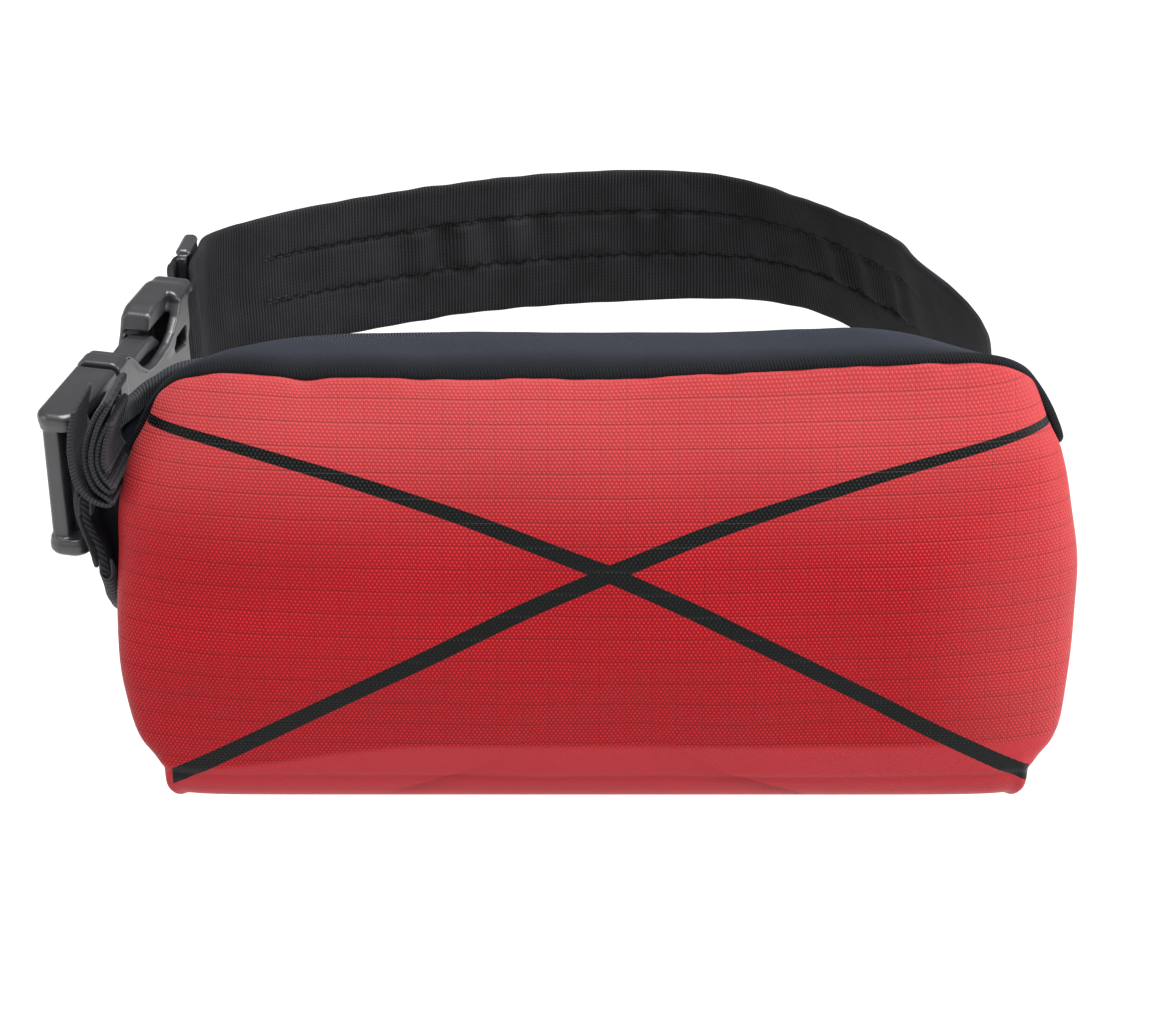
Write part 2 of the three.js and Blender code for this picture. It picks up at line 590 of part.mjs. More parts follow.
function femaleHalf() {
  const x0 = femaleStart;
  const x1 = femaleStart + femaleLength;
  const body = block(roundedRectangle(x0, -halfBuckle, x1, halfBuckle, 4.2), halfThick, 2.2);
  const cavityHalf = halfThick - plateThickness;
  const cavity = block(roundedRectangle(x0 - 5, -strapSpace + 0.4, x0 + boxEnd - 3, strapSpace - 0.4, 2), cavityHalf, 0.5);
  const window = windowShape(windowEnd, halfThick + 2);
  const innerWindow = windowShape(innerWindowEnd, plateThickness).translate([0, -halfThick, 0]);
  const slotHalf = bandHalfAtBuckle + 0.6;
  const webSlot = block(roundedRectangle(x0 + boxEnd, -slotHalf, x1 - webBarThickness, slotHalf, 0.8), halfThick + 2, 0);
  const diamond = block([[x0 + 46, 8], [x0 + 51.5, 5.2], [x0 + 57, 7.4], [x0 + 56, 13], [x0 + 47.5, 11.4]],
    halfThick + 2, 0);
  const trim = (side) => uprightBar(x1 - webBarThickness - 0.6, side * (halfThick + 2 + webBarThickness / 2) / 2
    - (halfThick + 2 - webBarThickness / 2) / 2, x1 + 2, side * (halfThick + 2 + webBarThickness / 2) / 2
    + (halfThick + 2 - webBarThickness / 2) / 2, 0.3, slotHalf);
  return body.subtract(cavity).subtract(mirrored(window)).subtract(mirrored(innerWindow)).subtract(webSlot)
    .subtract(mirrored(diamond)).subtract(trim(1)).subtract(trim(-1));
}

// Slide adjuster on the belt, in its own frame: two side rails and three bars.
function slider() {
  const half = sliderLength / 2;
  const railInner = beltWidth / 2 + 0.7;
  const rail = block(roundedRectangle(-half, railInner, half, sliderHeight / 2, 1.4), sliderThickness / 2, 0.9);
  const bar = (from, y0, y1) => uprightBar(from, y0, from + 3.8, y1, 0.9, railInner + 0.6);
  return mirrored(rail).add(bar(-half, -1.6, 1.6)).add(bar(-2.2, 0.6, 2.9)).add(bar(half - 3.8, -1.6, 1.6));
}

// Assembly
const fabricRed = new THREE.MeshStandardMaterial({ color: 0xb3303c, roughness: 0.55, metalness: 0 });
const knitNavy = new THREE.MeshStandardMaterial({ color: 0x2b2e36, roughness: 0.9, metalness: 0 });
const padGrey = new THREE.MeshStandardMaterial({ color: 0x2c2d31, roughness: 0.9, metalness: 0 });
const webbingBlack = new THREE.MeshStandardMaterial({ color: 0x1f2022, roughness: 0.85, metalness: 0 });
const plasticBlack = new THREE.MeshStandardMaterial({ color: 0x303135, roughness: 0.4, metalness: 0 });

function named(name, geometry, material) {
  const mesh = new THREE.Mesh(geometry, material);
  mesh.name = name;
  return mesh;
}

const buckle = new THREE.Group();
buckle.rotation.order = 'ZYX';
buckle.rotation.set(0, -Math.atan(buckleRise), buckleTurn);
buckle.position.set(buckleOrigin.x, buckleOrigin.y, beltZ(buckleOrigin.y) + buckleLift);
buckle.add(named('buckle_male', geometryOf(maleHalf()), plasticBlack));
buckle.add(named('buckle_female', geometryOf(femaleHalf()), plasticBlack));
const adjuster = new THREE.Group();
adjuster.rotation.z = sliderTurn;
adjuster.position.set(sliderOrigin.x, sliderOrigin.y, beltZ(sliderOrigin.y));
adjuster.add(named('slide_adjuster', geometryOf(slider()), plasticBlack));

const pack = new THREE.Group();
pack.position.copy(waistCentre).negate();
pack.add(named('front_cover', frontCover(), fabricRed));
pack.add(named('top_panel', topPanel(), knitNavy));
pack.add(named('back_panel', backPanel(), padGrey));
pack.add(named('wing_left', wing(), padGrey));
pack.add(named('side_strap', sideStrap(), webbingBlack));
pack.add(named('belt_band', beltBand(), webbingBlack));
pack.add(named('band_strip', bandStrip(), webbingBlack));
pack.add(buckle, adjuster);

const beltPack = new THREE.Group();
beltPack.add(pack);
export default beltPack;
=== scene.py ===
# %% [markdown]
# # A belt pack in soft goods
#
# A belt pack is a cloth pouch worn at the waist. This notebook dresses its plain CAD solids with
# cloth, knit-faced foam, elastic, webbing and moulded plastic.
# All shapes are worked out in millimetres in the pouch's own frame, the one the maker measures in,
# and moved to the CAD's frame, in metres, when a piece is made.

# %% Load the frame
import bpy
import numpy as np
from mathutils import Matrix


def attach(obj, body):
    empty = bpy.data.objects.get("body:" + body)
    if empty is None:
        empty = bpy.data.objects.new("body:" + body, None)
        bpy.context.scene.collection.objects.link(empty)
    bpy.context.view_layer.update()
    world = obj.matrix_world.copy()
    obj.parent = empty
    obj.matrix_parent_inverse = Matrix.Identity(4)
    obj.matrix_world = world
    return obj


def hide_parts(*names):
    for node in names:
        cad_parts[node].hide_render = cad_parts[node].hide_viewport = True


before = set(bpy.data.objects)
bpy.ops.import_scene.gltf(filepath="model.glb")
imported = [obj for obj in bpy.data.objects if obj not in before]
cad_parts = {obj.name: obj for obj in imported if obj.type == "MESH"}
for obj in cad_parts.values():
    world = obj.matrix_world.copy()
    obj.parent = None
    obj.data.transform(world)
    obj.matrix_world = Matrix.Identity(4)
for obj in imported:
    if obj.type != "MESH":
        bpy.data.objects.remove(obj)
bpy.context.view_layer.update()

# %% [markdown]
# ## The pack's sizes
#
# The sizes are the same ones that the CAD starts from. Everything below follows from them,
# so a wider pouch or a longer belt changes the cloth with it.

# %% Named sizes, in millimetres
POUCH_WIDTH, POUCH_HEIGHT, POUCH_DEPTH = 299.0, 141.5, 60.0
COVER_WALL, TOP_WALL, TOP_CROWN = 1.8, 3.0, 4.6
BACK_PANEL, SEAM_DROP, TOP_BACK_DROP, SEAM_GAP = 4.0, 33.0, 5.0, 0.35
BELT_WIDTH, BELT_THICKNESS = 50.0, 2.0
STRIP_WIDTH, STRIP_THICKNESS, STRIP_LIFT = 21.0, 1.2, 1.5
WAIST_WIDTH, WAIST_DEPTH = 262.0, 168.3
BELT_RISE, BELT_BELOW_SEAM = 0.05, 49.0
STRAP_WIDTH, STRAP_THICKNESS, WING_THICKNESS = 38.0, 1.5, 2.5
FOLD_LIFT = 14.0
BUCKLE_HEIGHT, BUCKLE_THICKNESS = 50.0, 13.6
MALE_LENGTH, BUCKLE_SLACK, FEMALE_LENGTH = 35.3, 1.4, 68.0
SLIDER_LENGTH, SLIDER_HEIGHT, SLIDER_THICKNESS = 22.0, 57.0, 6.0

HALF_WIDTH = POUCH_WIDTH / 2
BELLY_Y = -POUCH_DEPTH * 0.1
BACK_Y = BELLY_Y + POUCH_DEPTH
SEAM_Z = POUCH_HEIGHT * 0.452
PANEL_REAR_Y = BACK_Y + SEAM_GAP + BACK_PANEL


def belt_z(y):
    """Height of the belt's middle line: it climbs evenly towards the wearer's back."""
    return SEAM_Z - BELT_BELOW_SEAM + BELT_RISE * y


CENTRE_Y = PANEL_REAR_Y + WAIST_DEPTH / 2
ORIGIN = np.array([0.0, CENTRE_Y, belt_z(CENTRE_Y)])
print("waist centre in the pouch's frame:", ORIGIN.round(2))

# %% [markdown]
# ## Turning grids of points into pieces
#
# Sewn goods are flat materials with two faces and a rolled edge. Each piece is therefore a set of
# closed loops of points, one loop a cross-section, and neighbouring loops are joined with four-sided
# faces. The first and last loops are closed with a flat end.


# %% Mesh helpers
def unit(v):
    """Vectors scaled to length one."""
    return v / np.maximum(np.linalg.norm(v, axis=-1, keepdims=True), 1e-9)


def smooth(t):
    """Eases from 0 to 1: 3t² - 2t³, held at 0 before and at 1 after."""
    t = np.clip(t, 0.0, 1.0)
    return t * t * (3 - 2 * t)


def bump(x, centre, width):
    """A bell curve: exp(-((x - centre) / width)²)."""
    return np.exp(-(((x - centre) / width) ** 2))


def signed_power(value, exponent):
    """|value| to an exponent, with value's sign kept."""
    return np.sign(value) * np.abs(value) ** exponent


def new_piece(name, points, faces, material, slot, replaces=(), uv=None):
    """A piece from points in millimetres and faces with four corners, riding on the pack."""
    mesh = bpy.data.meshes.new(name)
    mesh.vertices.add(len(points))
    mesh.vertices.foreach_set("co", ((points - ORIGIN) * 0.001).ravel())
    mesh.loops.add(faces.size)
    mesh.loops.foreach_set("vertex_index", faces.ravel().astype(np.int32))
    mesh.polygons.add(len(faces))
    mesh.polygons.foreach_set("loop_start", np.arange(0, faces.size, 4, dtype=np.int32))
    mesh.polygons.foreach_set("use_smooth", np.ones(len(faces), dtype=bool))
    if uv is not None:
        layer = mesh.uv_layers.new(name="cloth")
        layer.data.foreach_set("uv", (uv[faces.ravel()] * 0.001).ravel())
    mesh.update(calc_edges=True)
    mesh.validate()
    piece = bpy.data.objects.new(name, mesh)
    bpy.context.scene.collection.objects.link(piece)
    mesh.materials.append(material)
    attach(piece, "root")
    for node in replaces:
        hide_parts(node)
    print(f"{name}: {len(points)} points, {2 * len(faces)} triangles")
    return piece


def loop_faces(count, around):
    """Faces that join closed loops in a row, and the two flat ends. Corner order turns outwards."""
    start = np.arange(count - 1)[:, None] * around
    here = np.arange(around)[None, :]
    following = (here + 1) % around
    beyond = start + around
    sides = np.stack([start + here, start + following, beyond + following, beyond + here], -1)
    half = np.arange(around // 2 - 1)
    cap = np.stack([half, around - 1 - half, around - 2 - half, half + 1], -1)
    return np.concatenate([sides.reshape(-1, 4), cap, cap[:, ::-1] + (count - 1) * around])


def facing_out(points, faces):
    """The faces, turned round if they enclose a negative volume."""
    a, b, c, d = (points[faces[:, i]] for i in range(4))
    volume = np.einsum("ij,ij->i", a, np.cross(b, c) + np.cross(c, d)).sum()
    return faces if volume > 0 else faces[:, ::-1]


def loops_piece(name, loops, uv, *args, **options):
    """A piece from closed loops, shaped (loops, points in a loop, 3), with cloth coordinates beside them."""
    points = loops.reshape(-1, 3)
    faces = facing_out(points, loop_faces(*loops.shape[:2]))
    return new_piece(name, points, faces, *args, uv=uv.reshape(-1, 2), **options)


def grid_normals(grid):
    """Unit normals of a grid of points, from its two running directions."""
    return unit(np.cross(np.gradient(grid, axis=0), np.gradient(grid, axis=1)))


def lengths_along(grid, axis):
    """Distance run along one direction of a grid, from its first point."""
    steps = np.linalg.norm(np.diff(grid, axis=axis), axis=-1)
    start = np.zeros_like(np.take(steps, [0], axis=axis))
    return np.concatenate([start, np.cumsum(steps, axis=axis)], axis=axis)


def cloth_loops(outer, uv, wall, facing=1, roll=4):
    """Loops of a cloth wall from its outer face: down the outer face, round a rolled edge, back up the
    inner face at one wall's distance, and round the other rolled edge. One loop for each column.
    facing is -1 where the grid's own normals point inwards."""
    normal = grid_normals(outer) * facing
    middle = outer - normal * wall / 2
    turn = np.pi * (np.arange(roll) + 1) / (roll + 1)
    edges = []
    for row, before in ((-1, -2), (0, 1)):
        out = unit(outer[row] - outer[before])
        cosine, sine = np.cos(turn)[:, None, None], np.sin(turn)[:, None, None]
        edges.append(middle[row] + (normal[row] * cosine + out * sine) * wall / 2)
    inner = outer - normal * wall
    loops = np.concatenate([outer, edges[0], inner[::-1], edges[1][::-1]])
    repeat = [np.repeat(uv[row][None], roll, axis=0) for row in (-1, 0)]
    coordinates = np.concatenate([uv, repeat[0], uv[::-1], repeat[1]])
    return loops.transpose(1, 0, 2), coordinates.transpose(1, 0, 2)


def read_table(rows, at):
    """Columns of a table at any position between its rows, on a smooth Catmull-Rom curve."""
    rows = np.asarray(rows, float)
    at = np.asarray(at, float)
    last = len(rows) - 1
    i = np.clip(np.floor(at).astype(int), 0, last - 1)
    t = (at - i)[..., None]
    p0, p1, p2, p3 = (rows[np.clip(i + k, 0, last)] for k in (-1, 0, 1, 2))
    bend = (2 * p0 - 5 * p1 + 4 * p2 - p3) * t**2 + (3 * p1 - p0 - 3 * p2 + p3) * t**3
    return np.moveaxis(0.5 * (2 * p1 + (p2 - p0) * t + bend), -1, 0)


def spaced(points, step):
    """Points every step along a smooth curve through the given ones."""
    points = np.asarray(points, float)
    fine = np.stack(read_table(points, np.linspace(0, len(points) - 1, 40 * len(points))), -1)
    run = lengths_along(fine[:, :3], 0)
    count = max(3, int(round(run[-1] / step)) + 1)
    return np.stack([np.interp(np.linspace(0, run[-1], count), run, column) for column in fine.T], -1)


def waves(u, v, seed, scale, count=7):
    """Soft unevenness between about -1 and 1: a sum of sines in random directions, from a fixed seed."""
    random = np.random.default_rng(seed)
    angle, phase = random.uniform(0, np.pi, count), random.uniform(0, 2 * np.pi, count)
    pitch = scale * random.uniform(0.6, 1.7, count)
    total = sum(np.sin(2 * np.pi * (u * np.cos(a) + v * np.sin(a)) / p + f)
                for a, f, p in zip(angle, phase, pitch))
    return total / np.sqrt(count)


# %% [markdown]
# ## Shader arithmetic
#
# The patterns of the materials are worked out with sums on the cloth's own coordinates.
# `Value` wraps a shader socket so that these sums read like ordinary arithmetic.


# %% Shader helper
class Value:
    """A number or vector in a material's node tree, with the usual operators."""

    def __init__(self, tree, socket):
        self.tree, self.socket = tree, socket

    def node(self, kind, settings=None, output=0, **sockets):
        """Any node: kind is its type, settings its properties, sockets its inputs (in0 is input 0)."""
        made = self.tree.nodes.new(kind)
        for key, value in (settings or {}).items():
            setattr(made, key, value)
        for key, value in sockets.items():
            index = int(key[2:]) if key[:2] == "in" and key[2:].isdigit() else key.replace("_", " ")
            if isinstance(value, Value):
                self.tree.links.new(value.socket, made.inputs[index])
            else:
                made.inputs[index].default_value = value
        return Value(self.tree, made.outputs[output])

    def math(self, operation, other=0.0, third=0.0):
        return self.node("ShaderNodeMath", {"operation": operation}, in0=self, in1=other, in2=third)

    def __add__(self, other):
        return self.math("ADD", other)

    def __radd__(self, other):
        return self.math("ADD", other)

    def __mul__(self, other):
        return self.math("MULTIPLY", other)

    def __rmul__(self, other):
        return self.math("MULTIPLY", other)

    def __sub__(self, other):
        return self.math("SUBTRACT", other)

    def __rsub__(self, other):
        return self.node("ShaderNodeMath", {"operation": "SUBTRACT"}, in0=other, in1=self)

    def __truediv__(self, other):
        return self.math("DIVIDE", other)

    def sin(self):
        return self.math("SINE")

    def abs(self):
        return self.math("ABSOLUTE")

    def power(self, other):
        return self.math("POWER", other)

    def least(self, other):
        return self.math("MINIMUM", other)

    def most(self, other):
        return self.math("MAXIMUM", other)

    def wave(self, period, shift=0.0):
        """sin(2π (value / period + shift))."""
        return (self * (2 * np.pi / period) + 2 * np.pi * shift).sin()

    def step(self, low, high):
        """Smooth step: 0 below low, 1 above high."""
        return self.node("ShaderNodeMapRange", {"interpolation_type": "SMOOTHSTEP"},
                         in0=self, in1=low, in2=high, in3=0.0, in4=1.0)

    def between(self, low, high):
        """Straight from low at 0 to high at 1."""
        return self * (high - low) + low

    def mix(self, first, second):
        """A colour between two, by this value."""
        return self.node("ShaderNodeMix", {"data_type": "RGBA"}, 2, in0=self, in6=first, in7=second)

    def part(self, name):
        """X, Y or Z of a vector."""
        split = self.tree.nodes.new("ShaderNodeSeparateXYZ")
        self.tree.links.new(self.socket, split.inputs[0])
        return Value(self.tree, split.outputs[name])


def rgb(red, green, blue):
    """A screen colour, 0 to 255, as the linear colour that shaders use."""
    screen = np.array([red, green, blue]) / 255
    linear = np.where(screen <= 0.04045, screen / 12.92, ((screen + 0.055) / 1.055) ** 2.4)
    return (*linear.tolist(), 1.0)


def start_material(name):
    """A new material: (its surface node, the cloth's coordinates, the place in the object)."""
    material = bpy.data.materials.new(name)
    material.use_nodes = True
    tree = material.node_tree
    surface = tree.nodes["Principled BSDF"]
    place = tree.nodes.new("ShaderNodeTexCoord")
    uv = tree.nodes.new("ShaderNodeUVMap")
    uv.uv_map = "cloth"
    return material, surface, Value(tree, uv.outputs["UV"]), Value(tree, place.outputs["Object"])


def noise(coordinate, scale, detail=3.0, rough=0.5):
    """Blender's noise, between about 0 and 1, on a coordinate in metres."""
    return coordinate.node("ShaderNodeTexNoise", Vector=coordinate, Scale=scale, Detail=detail,
                           Roughness=rough)


def finish_material(surface, colour, height, depth, roughness, sheen=0.0, sheen_tint=(1, 1, 1, 1),
                    specular=0.5):
    """Wires colour, roughness and a height in metres into the surface node."""
    tree = colour.tree
    tree.links.new(colour.socket, surface.inputs["Base Color"])
    if isinstance(roughness, Value):
        tree.links.new(roughness.socket, surface.inputs["Roughness"])
    else:
        surface.inputs["Roughness"].default_value = roughness
    relief = height.node("ShaderNodeBump", Height=height, Distance=depth, Strength=1.0)
    tree.links.new(relief.socket, surface.inputs["Normal"])
    surface.inputs["Sheen Weight"].default_value = sheen
    surface.inputs["Sheen Roughness"].default_value = 0.4
    surface.inputs["Sheen Tint"].default_value = sheen_tint
    surface.inputs["Specular IOR Level"].default_value = specular


# %% [markdown]
# ## Materials
#
# The cover is a laminated ripstop: round threads in a plain weave, six across and seven down in each
# little square, with doubled threads between the squares. Two dark stripes cross on the front; they are
# printed, so the weave shows through them. The stripes are the plain sort that many packs carry.

# %% Ripstop with crossed stripes
THREAD_ACROSS, THREAD_DOWN = 0.00132, 0.00107
TURN_UNDER_HEIGHT = -0.0763
CROSSING = (0.0040, -0.0165)
# side, up or down, reach, rise = a s + b s² + c s³ over the distance s to the side, half widths, and how
# far forward the cloth must lie to be printed
ARMS = [(-1, 1, 0.141, (0.400, -0.144, -4.41), (0.00265, 0.0013), 0.105),
        (1, 1, 0.1395, (0.441, -1.085, 0.42), (0.00265, 0.0011), 0.105),
        (-1, -1, 0.1368, (0.463, 0.659, -0.87), (0.0027, 0.0029), 0.1365),
        (1, -1, 0.1316, (0.437, 1.600, -5.67), (0.0027, 0.0029), 0.1365)]


def plain_weave(uv):
    """(thread tops from 0 to 1, squares' lines from 0 to 1) for cloth coordinates in metres."""
    u, v = uv.part("X"), uv.part("Y")
    wobble = noise(uv, 60.0, 2.0) * 0.0008
    u, v = u + wobble, v + wobble * 0.6
    rows = v.wave(2 * THREAD_DOWN)
    dots = (u.wave(THREAD_ACROSS) * rows).most(0.0).power(0.5) * rows.abs().power(1.4)
    down = v.wave(7 * THREAD_DOWN, 0.13).step(0.93, 0.998)
    across = u.wave(6 * THREAD_ACROSS, 0.31).step(0.93, 1.0)
    return dots, down, across


def stripe_mask(place):
    """1 on the two crossed stripes: near each of the four curved arms, up to its end."""
    x = place.part("X") - CROSSING[0]
    z = place.part("Z") - CROSSING[1]
    ahead = place.part("Y") * -1.0
    mask = None
    for side, up, reach, (a, b, c), (half, end), front in ARMS:
        s = x * side
        line = s * (s * (s * c + b) + a)
        away = (z * up - line).abs() * 0.92
        width = (s / reach).most(0.0).least(1.0).between(half, end)
        arm = (width - away).step(-0.0001, 0.0001) * s.step(-0.003, -0.002) * (reach - s).step(0.0, 0.0003)
        arm = arm * ahead.step(front, front + 0.001)
        mask = arm if mask is None else mask.most(arm)
    return mask


def cover_cloth(name):
    material, surface, uv, place = start_material(name)
    dots, down, across = plain_weave(uv)
    broad = noise(place, 9.0, 2.0)
    deep = dots.mix(rgb(138, 0, 12), rgb(200, 38, 48))
    lined = (down * 0.5).most(across * 0.15).mix(deep, rgb(122, 0, 12))
    twill = (uv.part("X") + uv.part("Y")).wave(0.0009) * 0.5 + 0.5
    drop = (place.part("X") * -1.0).step(0.050, 0.130) * 0.0095
    # below the crease the cloth turns under: there it gets a fine twill pattern, and its paler colour is
    # painted sheen of the turned-under cloth
    turned_under = (place.part("Z") * -1.0 + TURN_UNDER_HEIGHT - drop).step(-0.0014, 0.0016)
    turned_under_sheen = twill.mix(rgb(150, 32, 40), rgb(180, 48, 55))
    # painted sheen: the cover's upper part and its right side are painted paler and pinker, standing in for
    # the gloss of the light from above and from the right lamp
    painted_sheen = (place.part("Z").step(-0.02, 0.036) * 0.20).most(place.part("X").step(0.09, 0.15) * 0.14)
    lined = painted_sheen.mix(lined, rgb(206, 118, 116))
    colour = turned_under.mix((broad.step(0.35, 0.75) * 0.15).mix(lined, rgb(176, 30, 40)), turned_under_sheen)
    rough = broad.between(0.46, 0.58)
    mask = stripe_mask(place)
    ink = (dots * 0.7).mix(rgb(2, 4, 4), rgb(20, 25, 24))
    colour = mask.mix(colour, ink)
    rough = mask * -0.08 + rough
    height = turned_under.node("ShaderNodeMix", {"data_type": "FLOAT"}, 0, in0=turned_under,
                       in2=dots - down * 0.5 - across * 0.3, in3=twill * 0.4)
    finish_material(surface, colour, height, 0.00022, rough, sheen=0.04, sheen_tint=rgb(255, 205, 205),
                    specular=0.16)
    return material


cover_material = cover_cloth("cover_cloth")

# %% [markdown]
# The foam panels are faced with a fine twill knit in navy-grey. The elastic has fine ribs across it.
# Webbing is a close weave whose edges show each turn of the weft. Buckles are moulded in a dark
# grey plastic with a faint grain.


# %% Knit, elastic, webbing and plastic
def knit(name, dark, light, sheen=0.25, seam=0.0):
    """Fine slanting ribs: the wave of u + 0.45 v, broken up by noise, with painted shade that darkens the
    colour within seam metres of v = 0, along the stitched seam."""
    material, surface, uv, place = start_material(name)
    u, v = uv.part("X"), uv.part("Y")
    ribs = (u + v * 0.45).wave(0.00105) * 0.5 + 0.5
    loops = (v - u * 0.1).wave(0.0008) * 0.5 + 0.5
    fuzz = noise(place, 900.0, 2.0)
    pattern = ribs * 0.72 + loops * 0.18 + fuzz * 0.20
    colour = pattern.step(0.15, 0.95).mix(dark, light)
    # painted shade: the colour darkens towards the seam at v = 0
    if seam:
        colour = (v + noise(place, 40.0, 2.0) * 0.3 * seam).step(0.0, seam).mix(dark, colour)
    finish_material(surface, colour, pattern, 0.0003, 0.85, sheen=sheen, sheen_tint=rgb(190, 200, 225),
                    specular=0.2)
    return material


def elastic(name, dark, light, seams, start, end):
    """Fine ribs across the band, crossed by fainter threads that run along it. The two sewn lines pull uneven
    furrows into it, and painted shade darkens them, from start to end along the band."""
    material, surface, uv, place = start_material(name)
    u, v = uv.part("X"), uv.part("Y")
    ribs = (u + noise(place, 140.0, 2.0) * 0.0004).wave(0.00115) * 0.5 + 0.5
    threads = v.wave(0.0013) * 0.5 + 0.5
    patchy = noise(place, 70.0, 4.0, 0.6)
    pattern = ribs * 0.42 + threads * 0.07 + patchy * 0.40 + noise(place, 30.0, 2.0) * 0.30
    colour = pattern.step(0.25, 1.05).mix(dark, light)
    sewn = (u - start).step(0.0, 0.003) * (end - u).step(0.0, 0.003)
    for level in seams:
        # painted shade: each sewn line's furrow is darkened in the colour
        away = (v + u.wave(0.0058) * 0.00035 - level).abs() + noise(place, 260.0, 2.0) * 0.0011
        furrow_shade = (away.step(0.0007, 0.0017) * -1.0 + 1.0) * sewn
        colour = (furrow_shade * 0.8).mix(colour, rgb(5, 5, 7))
    finish_material(surface, colour, pattern, 0.00018, 0.85, sheen=0.02, sheen_tint=rgb(200, 205, 215),
                    specular=0.12)
    return material


def webbing(name, dark, light, pitch=0.0015):
    """Weft ribs across the strap in a zigzag: the wave of u shifted by a small saw of v."""
    material, surface, uv, place = start_material(name)
    u, v = uv.part("X"), uv.part("Y")
    zigzag = v.node("ShaderNodeMath", {"operation": "PINGPONG"}, in0=v, in1=0.0022)
    ribs = (u + zigzag * 0.12).wave(pitch) * 0.5 + 0.5
    grain = noise(place, 700.0, 2.0)
    pattern = ribs * 0.7 + grain * 0.35
    colour = pattern.step(0.15, 1.0).mix(dark, light)
    finish_material(surface, colour, pattern, 0.00025, 0.7, sheen=0.15, sheen_tint=rgb(210, 212, 220),
                    specular=0.3)
    return material


def plastic(name, base, light):
    """A fine grain and faint broad patches of wear, a little lighter and less even in gloss."""
    material, surface, _, place = start_material(name)
    grain = noise(place, 1500.0, 2.0)
    wear = noise(place, 60.0, 4.0, 0.6)
    colour = (wear.step(0.45, 0.8) * 0.5).mix(base, light)
    rough = wear.between(0.30, 0.42)
    finish_material(surface, colour, grain, 0.00003, rough, specular=0.9)
    return material


# the top panel's knit gets painted shade within 16 mm of its front seam
knit_material = knit("knit_face", rgb(7, 8, 11), rgb(52, 56, 68), sheen=0.03, seam=0.016)
wing_material = knit("wing_knit", rgb(8, 9, 12), rgb(42, 45, 53), sheen=0.03)
pad_material = knit("pad_knit", rgb(22, 23, 26), rgb(52, 54, 60), sheen=0.05)
webbing_material = webbing("strap_webbing", rgb(16, 16, 19), rgb(42, 43, 48), pitch=0.0012)
thread_material = webbing("sewing_thread", rgb(5, 5, 7), rgb(20, 20, 23), pitch=0.0004)
plastic_material = plastic("buckle_plastic", rgb(36, 36, 40), rgb(48, 48, 52))
binding_material = webbing("edge_binding", rgb(22, 23, 26), rgb(50, 52, 58), pitch=0.0011)

# %% [markdown]
# ## The front cover
#
# The cover is one piece of cloth, bent round the pouch and turned under at the bottom. Each row of the
# table is a bent line from one back edge round the belly to the other, and the rows run from the front
# seam down to the underside. A line is a boxy oval, |x/a|ⁿ + |y/b|ⁿ = 1, in front of the widest plane and
# runs straight back behind it.

# %% Pouch table
# forward, down, rim, wide, square, taper
COVER_ROWS = np.array([
    (0.665, 0.000, SEAM_DROP / POUCH_HEIGHT, 0.922, 3.1, 0.067),
    (0.745, 0.060, 0.270, 0.946, 3.1, 0.080),
    (0.865, 0.190, 0.330, 0.972, 3.2, 0.087),
    (0.950, 0.350, 0.420, 0.990, 3.3, 0.087),
    (0.990, 0.530, 0.520, 1.000, 3.4, 0.087),
    (1.000, 0.690, 0.620, 0.994, 4.0, 0.087),
    (0.975, 0.820, 0.720, 0.972, 5.2, 0.084),
    (0.925, 0.912, 0.800, 0.932, 8.0, 0.067),
    (0.850, 0.978, 0.860, 0.902, 13.0, 0.058),
    (0.700, 1.008, 0.905, 0.882, 13.0, 0.040),
    (0.450, 1.005, 0.930, 0.862, 12.0, 0.020),
    (0.220, 0.992, 0.942, 0.845, 12.0, 0.008),
    (0.000, 0.970, 0.950, 0.835, 12.0, 0.000),
])
WIDEST, SIDE_CLIMB = 0.48, 0.3


def pouch_skin(at, column):
    """Points of the skin. Column 0 to 1 goes round the front, below 0 and above 1 is the side behind
    the widest plane. Height runs from the rim's to the front's along a smooth step of the oval's reach."""
    forward, down, rim, wide, square, taper = read_table(COVER_ROWS, at)
    reach = forward * POUCH_DEPTH
    widest_y = BACK_Y - WIDEST * reach
    behind = np.maximum(0, np.maximum(-column, column - 1))
    turn = np.pi * np.clip(column, 0, 1)
    around = np.abs(np.sin(turn)) ** (2 / square)
    y_front = widest_y - reach * (1 - WIDEST) * around
    y = np.where(behind > 0, widest_y + behind * (BACK_Y - widest_y), y_front)
    half = (wide - taper * behind**1.6) * HALF_WIDTH
    front = SEAM_Z - down * POUCH_HEIGHT
    back = SEAM_Z - rim * POUCH_HEIGHT
    round_front = SIDE_CLIMB + (1 - SIDE_CLIMB) * smooth(around / 0.85)
    share = np.where(behind > 0, SIDE_CLIMB * (1 - behind), round_front)
    return np.stack([signed_power(np.cos(turn), 2 / square) * half, y, back + (front - back) * share], -1)


def even_columns(at, count):
    """Column numbers that lie evenly along each row, measured on the skin."""
    ease = np.linspace(0, 1, 700) ** 4 * 0.5
    left, right = np.linspace(-1, 0, 60)[:-1], np.linspace(1, 2, 60)[1:]
    fine = np.concatenate([left, ease, (1 - ease)[::-1][1:], right])
    run = lengths_along(pouch_skin(at[:, None], fine[None, :]), 1)
    share = np.linspace(0, 1, count)
    return np.stack([np.interp(share * r[-1], r, fine) for r in run])


# %% [markdown]
# The cloth isn't as even as the table. It puckers along the front seam, bulges softly between the
# things packed inside, and at the two lower corners it is pinched into a dart: a sharp ridge runs down
# to the corner, with a hollow just behind it on the side.


# %% Cover with its puckers and darts
# the row of the pouch's table where the cloth creases above the turned-under band
FOLD_ROW = 7.15


